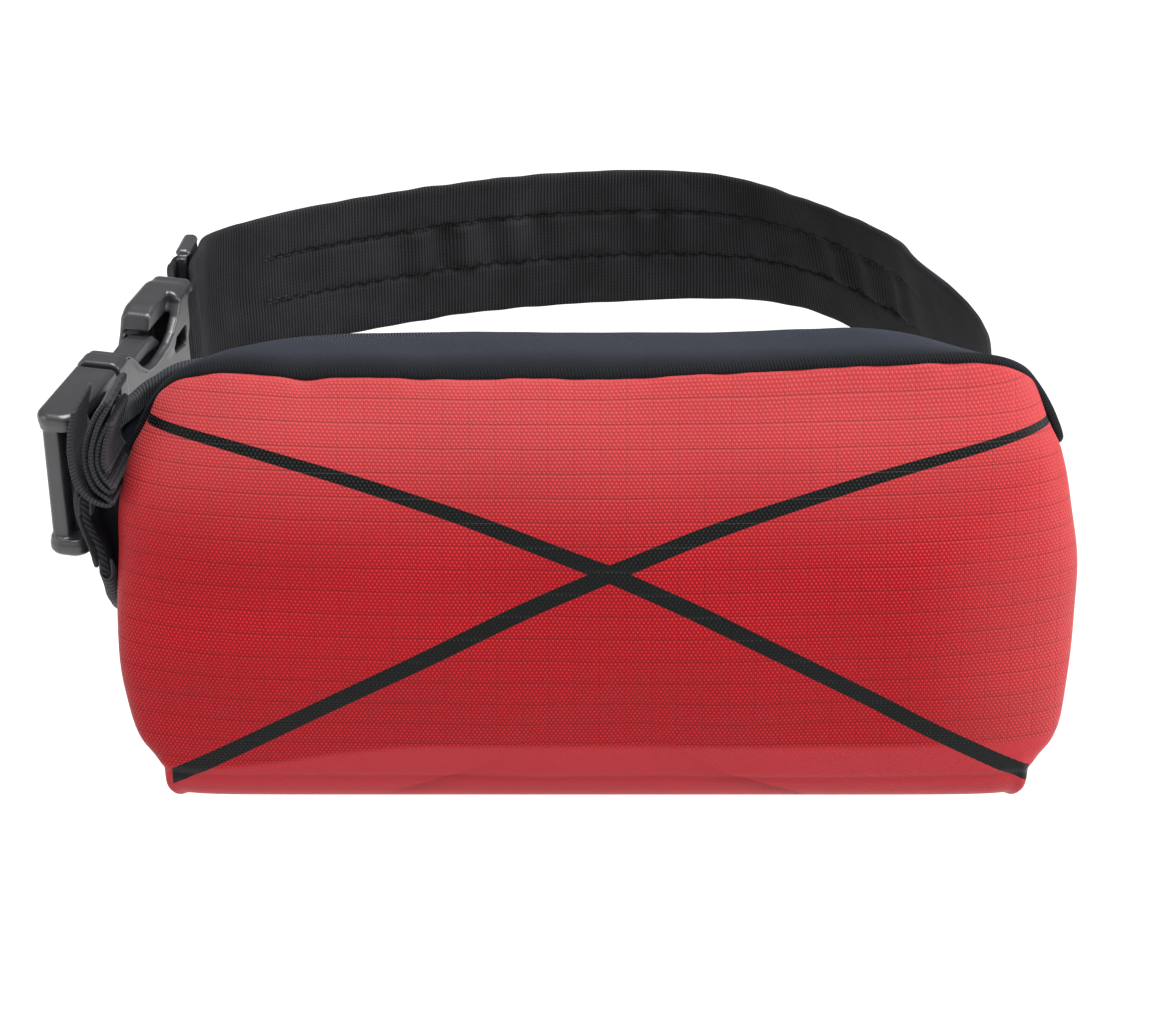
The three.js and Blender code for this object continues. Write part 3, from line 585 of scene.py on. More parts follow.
def seam_lift(x):
    """Height of the front seam over its table line: it climbs to the right, waves a little and is pulled
    down at one gathered spot. The cover and the top panel both follow it."""
    return 4.6 * smooth(x / 95) + 0.3 * waves(x, 0 * x, 17, 60) - 0.9 * bump(x, -89, 7)


def corner_flap(column):
    """1 at the pouch's upper corners and behind them, where the top panel laps over the cover's side."""
    return smooth((np.abs(column - 0.5) - 0.38) / 0.09)


def cover_grid(rows=142, columns=330):
    at = np.linspace(0, len(COVER_ROWS) - 1, rows)
    column = even_columns(at, columns)
    grid = pouch_skin(at[:, None], column)
    across = lengths_along(grid, 1)
    across -= across[:, -1:] / 2
    uv = np.stack([across, (SEAM_Z - grid[0, :, 2])[None, :] + lengths_along(grid, 0)], -1)
    normal = grid_normals(grid)
    normal *= np.sign((normal * (grid - [0, BACK_Y - 15, 0])).sum(-1, keepdims=True))
    x, z = grid[..., 0], grid[..., 2]
    row = at[:, None] + 0 * x
    ridge_column = 0.78 + 0.075 * smooth((at - 6) / 2)
    ridge_at = np.array([np.interp(r, c, a) for r, c, a in zip(ridge_column, column, across)])[:, None]
    from_ridge = np.abs(across) - ridge_at
    low = smooth((row - 6.3) / 1.4) * smooth((10.6 - row) / 1.6)
    move = 0.55 * waves(across, z, 3, 90) + 0.28 * waves(across, z, 5, 38)
    move = move * smooth(row / 1.5) * smooth((8.6 - row) / 2)
    move += (1.5 * bump(from_ridge, 0, 1.7) - 4.0 * bump(from_ridge, 8.0, 5.0)) * low
    move += 1.5 * bump(from_ridge, 17, 9) * bump(row, 6.6, 1.5)
    pucker = bump(row, 0, 0.55)
    move += pucker * (0.3 * waves(across, 0 * z, 11, 14) - 0.5 * bump(x, -89, 6) - 0.35 * bump(x, 112, 9))
    move -= 1.5 * bump(row, 0, 0.22) + 4.0 * corner_flap(column) * smooth((1.45 - row) / 0.6)
    move += -0.45 * bump(row, FOLD_ROW, 0.10) + 0.25 * bump(row, FOLD_ROW - 0.25, 0.16)
    grid = grid + normal * move[..., None]
    grid[..., 2] += bump(row, 0, 0.9) * seam_lift(x)
    return grid, uv


grid, uv = cover_grid()
cover = loops_piece("cover_shell", *cloth_loops(grid, uv, COVER_WALL, facing=-1), cover_material,
                    "shell_fabric", replaces=["front_cover"])

# %% [markdown]
# ## The top panel
#
# A strip of foam with a knit face closes the pouch on top. It is sewn edge to edge to the cover, rises in
# a soft crown and comes down to the pad behind. The same bent lines as the cover's first row set its front
# edge, so the seam meets everywhere. Close to both seams the foam is pulled thin by the stitches.


# %% Top panel
TOP_SQUARE = 4.4


def top_back_edge(column):
    """The panel's rear edge: an arch |x/a|ⁿ + |z/b|ⁿ = 1 between the pouch's upper back corners."""
    corner = pouch_skin(0.0, -1.0)
    turn = np.pi * (column + 1) / 3
    top = SEAM_Z - TOP_BACK_DROP
    x = signed_power(np.cos(turn), 2 / TOP_SQUARE) * corner[0]
    z = corner[2] + (top - corner[2]) * np.abs(np.sin(turn)) ** (2 / TOP_SQUARE)
    return np.stack([x, np.full_like(x, BACK_Y), z], -1)


def top_grid(rows=46, columns=300):
    column = even_columns(np.zeros(1), columns)[0]
    side = corner_flap(column)
    seam = pouch_skin(1.3 * side, column)
    seam[:, 0] += np.sign(seam[:, 0]) * 1.0 * side
    back = top_back_edge(column)
    turn = np.pi * (column + 1) / 3
    k = np.linspace(0, 1, rows)[:, None]
    arch = TOP_CROWN * np.sin(np.pi * k) ** 0.4 * np.sin(turn) ** 0.4
    grid = seam + (back - seam) * k[..., None]
    grid[..., 0] += arch * 0.5 * np.cos(turn)
    grid[..., 2] += arch + SEAM_GAP
    x = grid[..., 0]
    run = lengths_along(grid, 0)
    across = lengths_along(grid, 1)
    uv = np.stack([across, run], -1)
    soft = np.sin(np.pi * k)
    uneven = 0.5 * waves(x, run, 23, 70) + 0.2 * waves(x, run, 29, 24) + 2.6 * bump(x, 80, 30)
    grid[..., 2] += soft * uneven
    grid[..., 2] += np.exp(-k * 9) * (seam_lift(x) - 0.5)
    grid[..., 1] -= 0.5 * np.exp(-k * 30) * np.sin(np.pi * np.clip(column, 0, 1))
    return grid, uv


grid, uv = top_grid()
top = loops_piece("top_foam", *cloth_loops(grid, uv, TOP_WALL), knit_material, "knit_foam",
                  replaces=["top_panel"])

# %% [markdown]
# ## The back pad
#
# The pad against the body is the same foam behind an open mesh knit. It is cut to the pouch's back outline,
# bound all round with tape, and held flat by a few rows of stitches. It is made as a low pillow: a disc of
# rings that shrink towards the middle, thin at the rim and full inside.


# %% Back pad
def back_outline(count=280):
    """The pouch's back edge, once round: down one side, under, up the other side and over the top."""
    side = pouch_skin(np.linspace(0, len(COVER_ROWS) - 1, 90), np.full(90, -1.0))
    over = top_back_edge(np.linspace(-1, 2, 160))
    mirrored = side * [-1, 1, 1]
    ring = np.concatenate([side, mirrored[::-1], over[::-1][1:-1]])
    closed = np.vstack([ring, ring[:1]])
    run = lengths_along(closed, 0)
    want = np.linspace(0, run[-1], count, endpoint=False)
    return np.stack([np.interp(want, run, closed[:, i]) for i in range(3)], -1)


# half the width of the pad's thicker middle
PAD_MIDDLE = 65.7


def back_pad(rings=60):
    """The pad's loops, from the middle of its rear face out to the rim and back along its front face."""
    rim = back_outline()
    middle = rim.mean(0)
    share = np.linspace(1, 0.004, rings)[:, None, None]
    disc = middle + (rim - middle) * share
    depth = BACK_PANEL / 2 - 0.15
    x, z = disc[..., 0], disc[..., 2]
    edge = np.linalg.norm(disc - rim, axis=-1)
    rise = (1 - np.exp(-(edge / 5.0) ** 1.3)) * 0.9 + 0.1
    quilt = 0.6 * bump(np.abs(x), PAD_MIDDLE + 2, 1.8)
    full = depth * rise * (1 - np.minimum(quilt, 0.75)) + 0.15 * waves(x, z, 41, 40) * rise
    rear, front = disc.copy(), disc.copy()
    centre = BACK_Y + SEAM_GAP + BACK_PANEL / 2
    cushion = smooth((PAD_MIDDLE - np.abs(x)) / 3) * smooth((edge - 7) / 4)
    rear[..., 1], front[..., 1] = centre + full + 1.1 * cushion, centre - full * 0.9
    return np.concatenate([rear, front[::-1]])


loops = back_pad()
uv = loops[..., [0, 2]]
pad = loops_piece("back_pad", loops[::-1], uv[::-1], pad_material, "knit_foam", replaces=["back_panel"])


def pad_binding(name, turns=14):
    """Tape sewn over the seam all round the pad: an oval section carried round the pad's outline."""
    ring = back_outline(420)
    ring = np.vstack([ring, ring[:1]])
    ahead = unit(np.gradient(ring, axis=0))
    outward = np.cross(ahead, [0, 1, 0])
    outward *= np.sign((outward * (ring - ring.mean(0))).sum(-1, keepdims=True))
    turn = np.linspace(0, 2 * np.pi, turns, endpoint=False)[None, :, None]
    oval = signed_power(np.cos(turn), 0.7) * outward[:, None]
    oval = oval + signed_power(np.sin(turn), 0.7) * np.array([0, 1, 0]) * 2.7
    centre = ring + [0, SEAM_GAP + BACK_PANEL / 2 - 0.9, 0] - outward * 0.5
    loops = centre[:, None] + oval
    run = lengths_along(ring, 0)[:, None] + 0 * turn[..., 0]
    uv = np.stack([run, 2.7 * np.sin(turn[..., 0]) + 0 * run], -1)
    return loops_piece(name, loops, uv, binding_material, "knit_foam")


pad_binding("pad_binding")

# %% [markdown]
# ## Straps as ribbons along a path
#
# Webbing and elastic are woven flat, so a strap is one cross-section carried along a path seen from above.
# The cross-section stands upright: a flat inner and outer face, and at the top and bottom a selvedge, the
# slightly thicker rounded edge where the weft turns back. Each path point holds x, y, the middle height,
# half the width, the lean, a sideways bulge, the share of the buckle's tilt and the height it is raised.

# %% Strap helpers
BUCKLE_TURN = np.radians(74.6)
BUCKLE_X, BUCKLE_Y = -HALF_WIDTH - 16.8, 28.2
BUCKLE_LIFT, BUCKLE_RISE = 3.2, 0.075
CLIMB = BUCKLE_RISE - BELT_RISE * np.sin(BUCKLE_TURN)
LOCK_BAR_X, LOCK_BAR_Y, BAR_THICKNESS, WEB_BAR = 18.4, 1.2, 5.4, 4.0
WEB_BAR_X = MALE_LENGTH + BUCKLE_SLACK + FEMALE_LENGTH - WEB_BAR / 2
SLIDER_TURN, SLIDER_X, SLIDER_Y = np.radians(85), -WAIST_WIDTH / 2 - 7.4, 158.0
BAND_STAND = PANEL_REAR_Y + SEAM_GAP + BELT_THICKNESS / 2
BULGE_HEIGHT, BULGE_SPREAD = 18.0, 16.0


def in_frame(x0, y0, turn):
    """A turned frame in plan: (x0 + x cos - y sin, y0 + x sin + y cos)."""
    return lambda x, y: (x0 + np.cos(turn) * x - np.sin(turn) * y, y0 + np.sin(turn) * x + np.cos(turn) * y)


at_buckle = in_frame(BUCKLE_X, BUCKLE_Y, BUCKLE_TURN)
at_slider = in_frame(SLIDER_X, SLIDER_Y, SLIDER_TURN)


def path_points(xy, z, half, lean=0.0, bulge=0.0, tilt=0.0, raised=0.0):
    """Path rows from plan points and, for each other column, one value or one for each point."""
    xy = np.asarray(xy, float)
    columns = [np.broadcast_to(np.asarray(c, float), len(xy)) for c in (z, half, lean, bulge, tilt, raised)]
    return np.column_stack([xy, *columns])


def strap_surface(path, offset, height):
    """Points of a strap: plan point + left-hand normal · (offset + lean · up) + bulge + buckle's tilt.
    height holds each cross-section point's share of the half width, -1 to 1."""
    x, y, z, half, lean, bulge, tilt, raised = (c[:, None] for c in path.T)
    ahead = unit(np.gradient(path[:, :2], axis=0))
    up = half * height
    shift = offset + (up + raised) * lean
    level = z + up
    swell = -bulge * bump(level, BULGE_HEIGHT, BULGE_SPREAD)
    lie = -up * BUCKLE_RISE * tilt
    px = x - ahead[:, 1:] * shift + swell + lie * np.cos(BUCKLE_TURN)
    py = y + ahead[:, :1] * shift + lie * np.sin(BUCKLE_TURN)
    return np.stack([px, py, level], -1)


def strap_section(thickness, across=26, roll=5, selvedge=0.18):
    """Cross-section once round: (offset, share of the half width, side, cloth height)."""
    flat = np.linspace(-1, 1, across)
    body = thickness / 2 * (1 + selvedge * (bump(np.abs(flat), 0.93, 0.05)))
    turn = np.linspace(0, np.pi, roll + 2)[1:-1]
    top = np.stack([np.cos(turn) * thickness / 2, 1 + 0 * turn, np.sin(turn) * thickness / 2], -1)
    low = np.stack([-np.cos(turn) * thickness / 2, -1 + 0 * turn, -np.sin(turn) * thickness / 2], -1)
    inner = np.stack([body, flat, 0 * flat], -1)
    outer = np.stack([-body[::-1], flat[::-1], 0 * flat], -1)
    return np.concatenate([inner, top, outer, low])


def strap(name, path, thickness, material, step=1.2, ripple=None, edge_wave=0.0, across=26, **options):
    """Makes a strap piece; returns its fine path and the length run along it. ripple(run, share) shifts
    both faces sideways and edge_wave lifts the selvedges."""
    path = spaced(path, step)
    section = strap_section(thickness, across=across)
    run = lengths_along(path[:, :2], 0)[:, None]
    offset = np.broadcast_to(section[:, 0], (len(path), len(section))).copy()
    share = section[:, 1][None]
    if ripple is not None:
        offset += ripple(run, share)
    loops = strap_surface(path, offset, share)
    loops[..., 2] += section[:, 2] + edge_wave * np.sign(share) * share**4 * waves(run, 0 * run, 53, 18)
    v = path[:, 3:4] * share + section[:, 2]
    side = np.sign(section[:, 0])[None] * 0.5
    uv = np.stack(np.broadcast_arrays(run + side, v), -1)
    loops_piece(name, loops, uv, material, "webbing", **options)
    return path, run[:, 0]


# %% [markdown]
# ## Stitches
#
# A sewn line is a row of short thread ends, each sinking into the cloth at both ends. One stitch is a tiny
# capsule: rings whose radius follows √(1 - t²) along the stitch. All the stitches of a line are one mesh.


# %% Stitch maker
def stitches(name, places, directions, normals, slot, length=2.4, width=0.5, around=6, rings=5):
    """One mesh of capsules, centred at places, lying along directions and bulging along normals."""
    places, directions = np.asarray(places, float), unit(np.asarray(directions, float))
    normals = unit(np.asarray(normals, float))
    sides = unit(np.cross(directions, normals))
    t = np.linspace(-1, 1, rings)[:, None]
    turn = np.linspace(0, 2 * np.pi, around, endpoint=False)[None, :]
    radius = width / 2 * np.sqrt(1 - (t * 0.93) ** 2)
    along, outward, aside = t * length / 2 + 0 * turn, radius * np.cos(turn) * 0.8, radius * np.sin(turn)
    cell = places[:, None, None] + along[None, ..., None] * directions[:, None, None]
    cell = cell + outward[None, ..., None] * normals[:, None, None]
    cell = cell + aside[None, ..., None] * sides[:, None, None]
    faces = loop_faces(rings, around)
    faces = facing_out(cell[0].reshape(-1, 3), faces)
    every = (faces[None] + (np.arange(len(places)) * rings * around)[:, None, None]).reshape(-1, 4)
    flat = np.broadcast_to(np.stack([along, aside], -1)[None], (*cell.shape[:-1], 2))
    return new_piece(name, cell.reshape(-1, 3), every, thread_material, slot, uv=flat.reshape(-1, 2))


def stitch_line(points, normals, pitch=3.1):
    """Evenly spread stitches on a line of points: (places, directions, normals)."""
    run = lengths_along(points, 0)
    at = np.arange(pitch / 2, run[-1], pitch)
    place = np.stack([np.interp(at, run, c) for c in points.T], -1)
    way = np.stack([np.interp(at, run, c) for c in np.gradient(points, axis=0).T], -1)
    out = np.stack([np.interp(at, run, c) for c in normals.T], -1)
    return place, way, out


# %% [markdown]
# ## The waist band
#
# The band is a wide elastic. It is sewn to the pad on one side, runs round the wearer, passes the slider,
# goes round the buckle's rear bar and ends under itself in the slider. A narrower webbing is sewn to its
# outer face while the elastic is stretched, so when it relaxes the part between the two stitched lines
# puckers in soft upright waves.

# %% Band path
# across: share of half the waist width, back: share of the waist depth, lean
BAND_TABLE = np.array([
    (0.870, 0.018, 0.00), (0.945, 0.070, 0.02), (0.968, 0.140, 0.05), (0.972, 0.230, 0.10),
    (0.955, 0.330, 0.14), (0.920, 0.430, 0.17), (0.865, 0.540, 0.20), (0.825, 0.645, 0.23),
    (0.735, 0.750, 0.26), (0.610, 0.860, 0.28), (0.450, 0.950, 0.20), (0.290, 0.993, 0.08),
    (0.110, 1.000, 0.01), (-0.120, 0.978, 0.00), (-0.390, 0.925, 0.00), (-0.640, 0.845, 0.00),
    (-0.830, 0.770, 0.00), (-0.950, 0.710, 0.00),
])
BAND_OVERLAP, BAND_HALF_AT_BUCKLE, RUNNING_GAP = 46.0, 20.0, 0.35
OVERLAP_SHARES, BAND_STEPS = (0, 0.35, 0.7), 54
# where the webbing's two ends lie in the table, and how far its stitches keep from its edges
STRIP_FROM, STRIP_TO, STITCH_INSET = 6.2, 16.3, 2.2


def band_run(start, end, count):
    across, back, lean = read_table(BAND_TABLE, np.linspace(start, end, count))
    y = BAND_STAND + back * WAIST_DEPTH
    at = np.linspace(start, end, count)
    narrow = 0.9 * smooth((at - 3) / 3) * smooth((18 - at) / 3) + 1.3 * bump(at, 9.4, 1.3)
    plan = np.column_stack([across * WAIST_WIDTH / 2, y])
    return path_points(plan, belt_z(y) + narrow, BELT_WIDTH / 2 - narrow, lean)


def on_belt(xy, half, share=0.0):
    xy, share = np.asarray(xy, float), np.asarray(share, float)
    return path_points(xy, belt_z(xy[:, 1]) + (BUCKLE_LIFT + WEB_BAR_X * CLIMB) * share, half, tilt=share)


def gathered(xy, start, end):
    """Belt points that narrow towards the buckle, as share rises from start to end on a smooth step."""
    share = smooth(np.linspace(start, end, len(xy)))
    return on_belt(xy, BELT_WIDTH / 2 + (BAND_HALF_AT_BUCKLE - BELT_WIDTH / 2) * share, share)


def belt_path():
    start_x = BAND_TABLE[0, 0] * WAIST_WIDTH / 2
    sewn = [(start_x - BAND_OVERLAP * (1 - t), BAND_STAND) for t in OVERLAP_SHARES]
    radius = WEB_BAR * 0.71 + RUNNING_GAP + BELT_THICKNESS / 2
    turn = -np.pi / 2 - np.pi * np.arange(13) / 12
    arc = np.column_stack(at_buckle(WEB_BAR_X + radius * np.cos(turn), radius * np.sin(turn)))
    run = band_run(0, len(BAND_TABLE) - 1, BAND_STEPS + 1)
    half, inside = SLIDER_LENGTH / 2, -SLIDER_THICKNESS / 2 - 0.6
    approach = spaced([run[-1, :2], at_slider(half + 1, inside - 0.4), at_slider(0, inside),
                       at_slider(-half, inside), at_buckle(WEB_BAR_X + 7, -radius - 0.2), arc[0]], 5)[1:-1]
    back = [at_buckle(WEB_BAR_X + 7, radius + 0.2)] + [at_slider(x - half, y) for x, y in (
        (-3, 3.1), (1, 3.1), (4.6, 3), (6.6, 1.2), (8.4, -0.9), (12.4, -1.2), (17, -1.2))]
    return np.vstack([on_belt(sewn, BELT_WIDTH / 2), run, gathered(approach, -1.2, 1),
                      gathered(arc, 1, 1), gathered(np.array(back), 1, -1)])


# %% Band, webbing and their stitches
STITCH_SHARE = (STRIP_WIDTH / 2 - STITCH_INSET) / (BELT_WIDTH / 2)
STRIP_SHARE = STRIP_LIFT / (BELT_WIDTH / 2)


def upright_waves(run):
    """Uneven waves along the band, about 17 mm long."""
    crests = 1.7 * np.sin(2 * np.pi * (run / 17 + 0.35 * np.sin(run / 41)))
    return crests * (0.6 + 0.6 * waves(run, 0 * run, 61, 60))


def band_pucker(run, share):
    """Upright waves between the stitched lines, and a soft unevenness all over the band."""
    inside = smooth((1 - np.abs(share - STRIP_SHARE) / 0.40) / 0.35)
    sewn = smooth((run - SEWN_FROM) / 25) * smooth((SEWN_TO - run) / 25)
    line = bump(np.abs(share - STRIP_SHARE), STITCH_SHARE, 0.035)
    return sewn * (inside * upright_waves(run) - 0.7 * line) + 0.45 * waves(run, share * 25, 67, 46)


def run_at(run, position):
    """Length run along the belt's path up to a position in the band's table."""
    number = len(OVERLAP_SHARES) + position / (len(BAND_TABLE) - 1) * BAND_STEPS
    return np.interp(number, np.arange(len(run)), run)


path = belt_path()
path_run = lengths_along(path[:, :2], 0)
SEWN_FROM, SEWN_TO = run_at(path_run, STRIP_FROM), run_at(path_run, STRIP_TO)
SEAM_LEVELS = [(STRIP_LIFT + side * (STRIP_WIDTH / 2 - STITCH_INSET)) / 1000 for side in (-1, 1)]
band_material = elastic("band_elastic", rgb(14, 14, 15), rgb(50, 49, 52), SEAM_LEVELS, SEWN_FROM / 1000,
                        SEWN_TO / 1000)
print("webbing sewn on from", SEWN_FROM.round(), "to", SEWN_TO.round(), "mm along the band")
band_path, band_run_mm = strap("waist_band", path, BELT_THICKNESS, band_material, ripple=band_pucker,
                               edge_wave=0.15, across=40, replaces=["belt_band"])

strip_path = band_run(STRIP_FROM, STRIP_TO, 35)
strip_path[:, 2] += STRIP_LIFT
strip_path[:, 3] = STRIP_WIDTH / 2
strip_path[:, 7] = STRIP_LIFT
STRIP_OFFSET = -(BELT_THICKNESS / 2 + SEAM_GAP + STRIP_THICKNESS / 2)


def strip_ripple(run, share):
    """The webbing keeps its distance from the band, and follows its waves away from its own edges."""
    along = run + SEWN_FROM
    fade = smooth((along - SEWN_FROM) / 25) * smooth((SEWN_TO - along) / 25)
    return STRIP_OFFSET + 0.9 * fade * smooth((1 - np.abs(share)) / 0.5) * upright_waves(along) - 0.25


strap("band_webbing", strip_path, STRIP_THICKNESS, webbing_material, ripple=strip_ripple, across=16,
      replaces=["band_strip"])

lines, ways, outs = [], [], []
inner = (band_run_mm > SEWN_FROM - 4) & (band_run_mm < SEWN_TO + 4)
for share in (STRIP_SHARE - STITCH_SHARE, STRIP_SHARE + STITCH_SHARE):
    heights = np.full((1, 1), share)
    offset = BELT_THICKNESS / 2 + 0.02 + band_pucker(band_run_mm[inner][:, None], heights)
    on_face = strap_surface(band_path[inner], offset, heights)[:, 0]
    ahead = unit(np.gradient(band_path[inner][:, :2], axis=0))
    out = np.column_stack([-ahead[:, 1], ahead[:, 0], 0 * ahead[:, 0]])
    for shift, rows in ((0.0, slice(None)), (1.3, slice(0, 20)), (1.3, slice(-20, None))):
        place, way, normal = stitch_line(on_face[rows] + [0, 0, shift], out[rows])
        lines.append(place)
        ways.append(way)
        outs.append(normal)
stitches("band_stitches", np.vstack(lines), np.vstack(ways), np.vstack(outs), "webbing", length=2.5,
         width=0.62)

# %% [markdown]
# ## The wing beside the pouch
#
# On the buckle's side a tapered flap of knit-faced foam comes from the pad, folds forwards round the corner
# and lies against the pouch. Its free edges are bound with tape. The same ribbon makes it: its height
# and its place beside the pouch come from a table, and the tape is a second ribbon wrapped over each edge.

# %% Wing
# out: outside the pouch, back: share of the way to the pad's rear, low, high: below the seam, swell
WING_TABLE = np.array([
    (-54.0, 1.000, 0.66, 0.100, 0.00), (-22.0, 1.000, 0.66, 0.120, 0.00), (-10.0, 0.990, 0.66, 0.160, 0.05),
    (-3.5, 0.925, 0.66, 0.190, 0.10), (0.3, 0.800, 0.66, 0.195, 0.20), (1.3, 0.660, 0.63, 0.220, 0.45),
    (1.7, 0.510, 0.57, 0.290, 0.80), (1.8, 0.390, 0.49, 0.320, 1.00),
])
WING_BULGE, WING_END = 6.2, 7.0
WING_STAND = PANEL_REAR_Y + SEAM_GAP + WING_THICKNESS / 2


def wing_points(at):
    """Path rows of the wing's middle sheet at positions in its table."""
    out, back, low, high, swell = read_table(WING_TABLE, at)
    low, high = SEAM_Z - low * POUCH_HEIGHT, SEAM_Z - high * POUCH_HEIGHT
    y = BELLY_Y + back * (WING_STAND - BELLY_Y)
    return path_points(np.column_stack([-HALF_WIDTH - out, y]), (low + high) / 2, (high - low) / 2,
                       bulge=WING_BULGE * swell)


def beside_wing(start, end, distance, steps):
    """Plan points and bulges of a line that keeps a distance from the wing, to its left if positive."""
    at = np.linspace(start, end, steps + 1)
    here = wing_points(at)
    after, before = wing_points(np.minimum(WING_END, at + 0.05)), wing_points(np.maximum(0, at - 0.05))
    way = unit(after[:, :2] - before[:, :2])
    left = np.column_stack([-way[:, 1], way[:, 0]])
    return here[:, :2] + left * distance, here[:, 5]


def wing_ripple(run, share):
    """A soft unevenness all over the wing."""
    return 0.25 * waves(run, share * 30, 71, 34)


wing_path = wing_points(np.linspace(0, WING_END, 60))
wing_fine, _ = strap("wing_flap", wing_path, WING_THICKNESS, wing_material, across=44, ripple=wing_ripple,
                     replaces=["wing_left"])


def edge_tape(name, path, side, width=9.0, thickness=0.8):
    """Tape wrapped over a strap's long edge: a U of tape round the selvedge, in each cross-section."""
    turn = np.linspace(0, np.pi, 13)
    out = WING_THICKNESS / 2 + thickness + 0.15
    legs = np.linspace(-width / 2, 0, 7)[:-1]
    outer = np.concatenate([np.column_stack([out + 0 * legs, legs]),
                            np.column_stack([out * np.cos(turn), out * np.sin(turn)]),
                            np.column_stack([-out + 0 * legs, legs[::-1]])])
    inner = outer * [1 - thickness / out, 1]
    ring = np.concatenate([outer, inner[::-1]])
    path = spaced(path, 1.2)
    run = lengths_along(path[:, :2], 0)[:, None]
    slack = 0.12 * waves(run, ring[None, :, 1], 73, 9)
    loops = strap_surface(path, ring[None, :, 0] + slack, np.full((1, len(ring)), float(side)))
    loops[..., 2] += side * ring[None, :, 1]
    uv = np.stack(np.broadcast_arrays(run, ring[None, :, 1] + ring[None, :, 0]), -1)
    return loops_piece(name, loops, uv, binding_material, "knit_foam")


edge_tape("wing_tape_upper", wing_fine, 1)
edge_tape("wing_tape_lower", wing_fine, -1)

# %% [markdown]
# ## The side strap and its folded end
#
# Webbing sewn to the wing runs forwards to the buckle, goes round the strap half's bar and comes back along
# the wing, where its free end begins.

# %% Side strap
def lifted(xy, bulge, share):
    """Strap points at the belt's height, raised by a share of the stack's lift."""
    xy = np.asarray(xy, float)
    return path_points(xy, belt_z(xy[:, 1]) + FOLD_LIFT * np.asarray(share), STRAP_WIDTH / 2, bulge=bulge)


def at_lock_bar(xy, share, bulge=None):
    """Strap points raised and tilted by a share of what the buckle's lock bar is."""
    xy, share = np.asarray(xy, float), np.asarray(share, float) + np.zeros(len(xy))
    z = belt_z(xy[:, 1]) + (BUCKLE_LIFT + LOCK_BAR_X * CLIMB) * share
    bulge = WING_BULGE * (1 - share) if bulge is None else bulge
    return path_points(xy, z, STRAP_WIDTH / 2, bulge=bulge, tilt=share)


def side_strap_path():
    clear = WING_THICKNESS / 2 + RUNNING_GAP + STRAP_THICKNESS / 2
    sewn = lifted(*beside_wing(0.35, 2.75, -clear, 10), 0)
    radius = BAR_THICKNESS / 2 + RUNNING_GAP + STRAP_THICKNESS / 2
    turn = np.radians(-28 + 246 * np.arange(15) / 14)
    arc = np.column_stack(at_buckle(LOCK_BAR_X + radius * np.cos(turn), LOCK_BAR_Y + radius * np.sin(turn)))
    xy, bulge = beside_wing(6.1, WING_END, -clear - 0.25, 4)
    forward = lifted(xy, bulge, 0)
    enter = spaced([sewn[-1, :2], at_buckle(LOCK_BAR_X + 8.6, -5.6), arc[0]], 3)[1:-1]
    enter = at_lock_bar(enter, smooth(1.8 * (np.arange(len(enter)) + 1) / len(enter)), bulge=0.0)
    leave = spaced([arc[-1], at_buckle(LOCK_BAR_X - 5.6, -5.2), xy[0]], 1.6)[1:-1]
    leave = at_lock_bar(leave, 1 - smooth(1.8 * (np.arange(len(leave)) + 1) / len(leave) - 0.8))
    return np.vstack([sewn, enter, at_lock_bar(arc, 1.0), leave, forward])


strap("side_webbing", side_strap_path(), STRAP_THICKNESS, webbing_material, step=0.7, across=28,
      replaces=["side_strap"])

# %% [markdown]
# The free end is folded to and fro into a bundle beside the pouch. Its folds lie at the top and the bottom,
# so from the front the selvedges of its layers nest like brackets. The path is drawn in the upright plane
# and the width of the webbing runs front to back.

# %% Folded end of the webbing
BUNDLE_PATH = np.array([
    (-157.4, 53.5), (-159.0, 45.0), (-159.3, 38.5), (-158.2, 30.5), (-154.6, 24.8), (-149.6, 22.4),
    (-147.4, 23.0), (-148.9, 24.6), (-153.0, 28.6), (-155.1, 36.0), (-154.3, 43.5), (-151.0, 51.6),
    (-147.6, 56.4), (-146.3, 56.2), (-149.6, 50.4), (-152.4, 42.6), (-153.1, 36.0), (-151.3, 30.2),
    (-148.3, 27.0), (-146.9, 27.9), (-149.6, 31.6), (-151.2, 36.2), (-150.5, 42.4), (-147.9, 48.3),
    (-146.4, 49.2), (-148.7, 42.0), (-149.3, 36.4), (-147.9, 33.2),
])
BUNDLE_FRONT, BUNDLE_REAR = 9.0, 31.0


def bundle(name):
    """The folded webbing: a strap's cross-section carried along the upright path."""
    path = spaced(BUNDLE_PATH @ np.array([[1, 0, 0], [0, 1, 0]]), 0.7)[:, :2]
    section = strap_section(STRAP_THICKNESS - 0.2, across=24, selvedge=0.25)
    ahead = unit(np.gradient(path, axis=0))
    offset, share, end = section.T
    x = path[:, :1] - ahead[:, 1:] * offset
    z = path[:, 1:] + ahead[:, :1] * offset
    half = (BUNDLE_REAR - BUNDLE_FRONT) / 2
    run = lengths_along(path, 0)[:, None]
    y = BUNDLE_FRONT + half + share * half + end + 0.35 * waves(run, 0 * run, 83, 30)
    lean = 0.10 * (y - BUNDLE_FRONT)
    loops = np.stack(np.broadcast_arrays(x + lean, y, z), -1)
    uv = np.stack(np.broadcast_arrays(run, share * half + end), -1)
    return loops_piece(name, loops, uv, webbing_material, "webbing")


bundle("folded_webbing")

# %% [markdown]
# ## Moulded parts from distances
#
# A side-release buckle is injection moulded: every edge is round, and ribs flow into walls. Such a part is
# easiest to describe by distance. A field gives each point of space its distance to the surface,
# negative inside; boxes and outlines are joined, cut and blended by comparing numbers. The surface is
# then drawn through the points where the field is zero, one point in each small cube that it crosses.


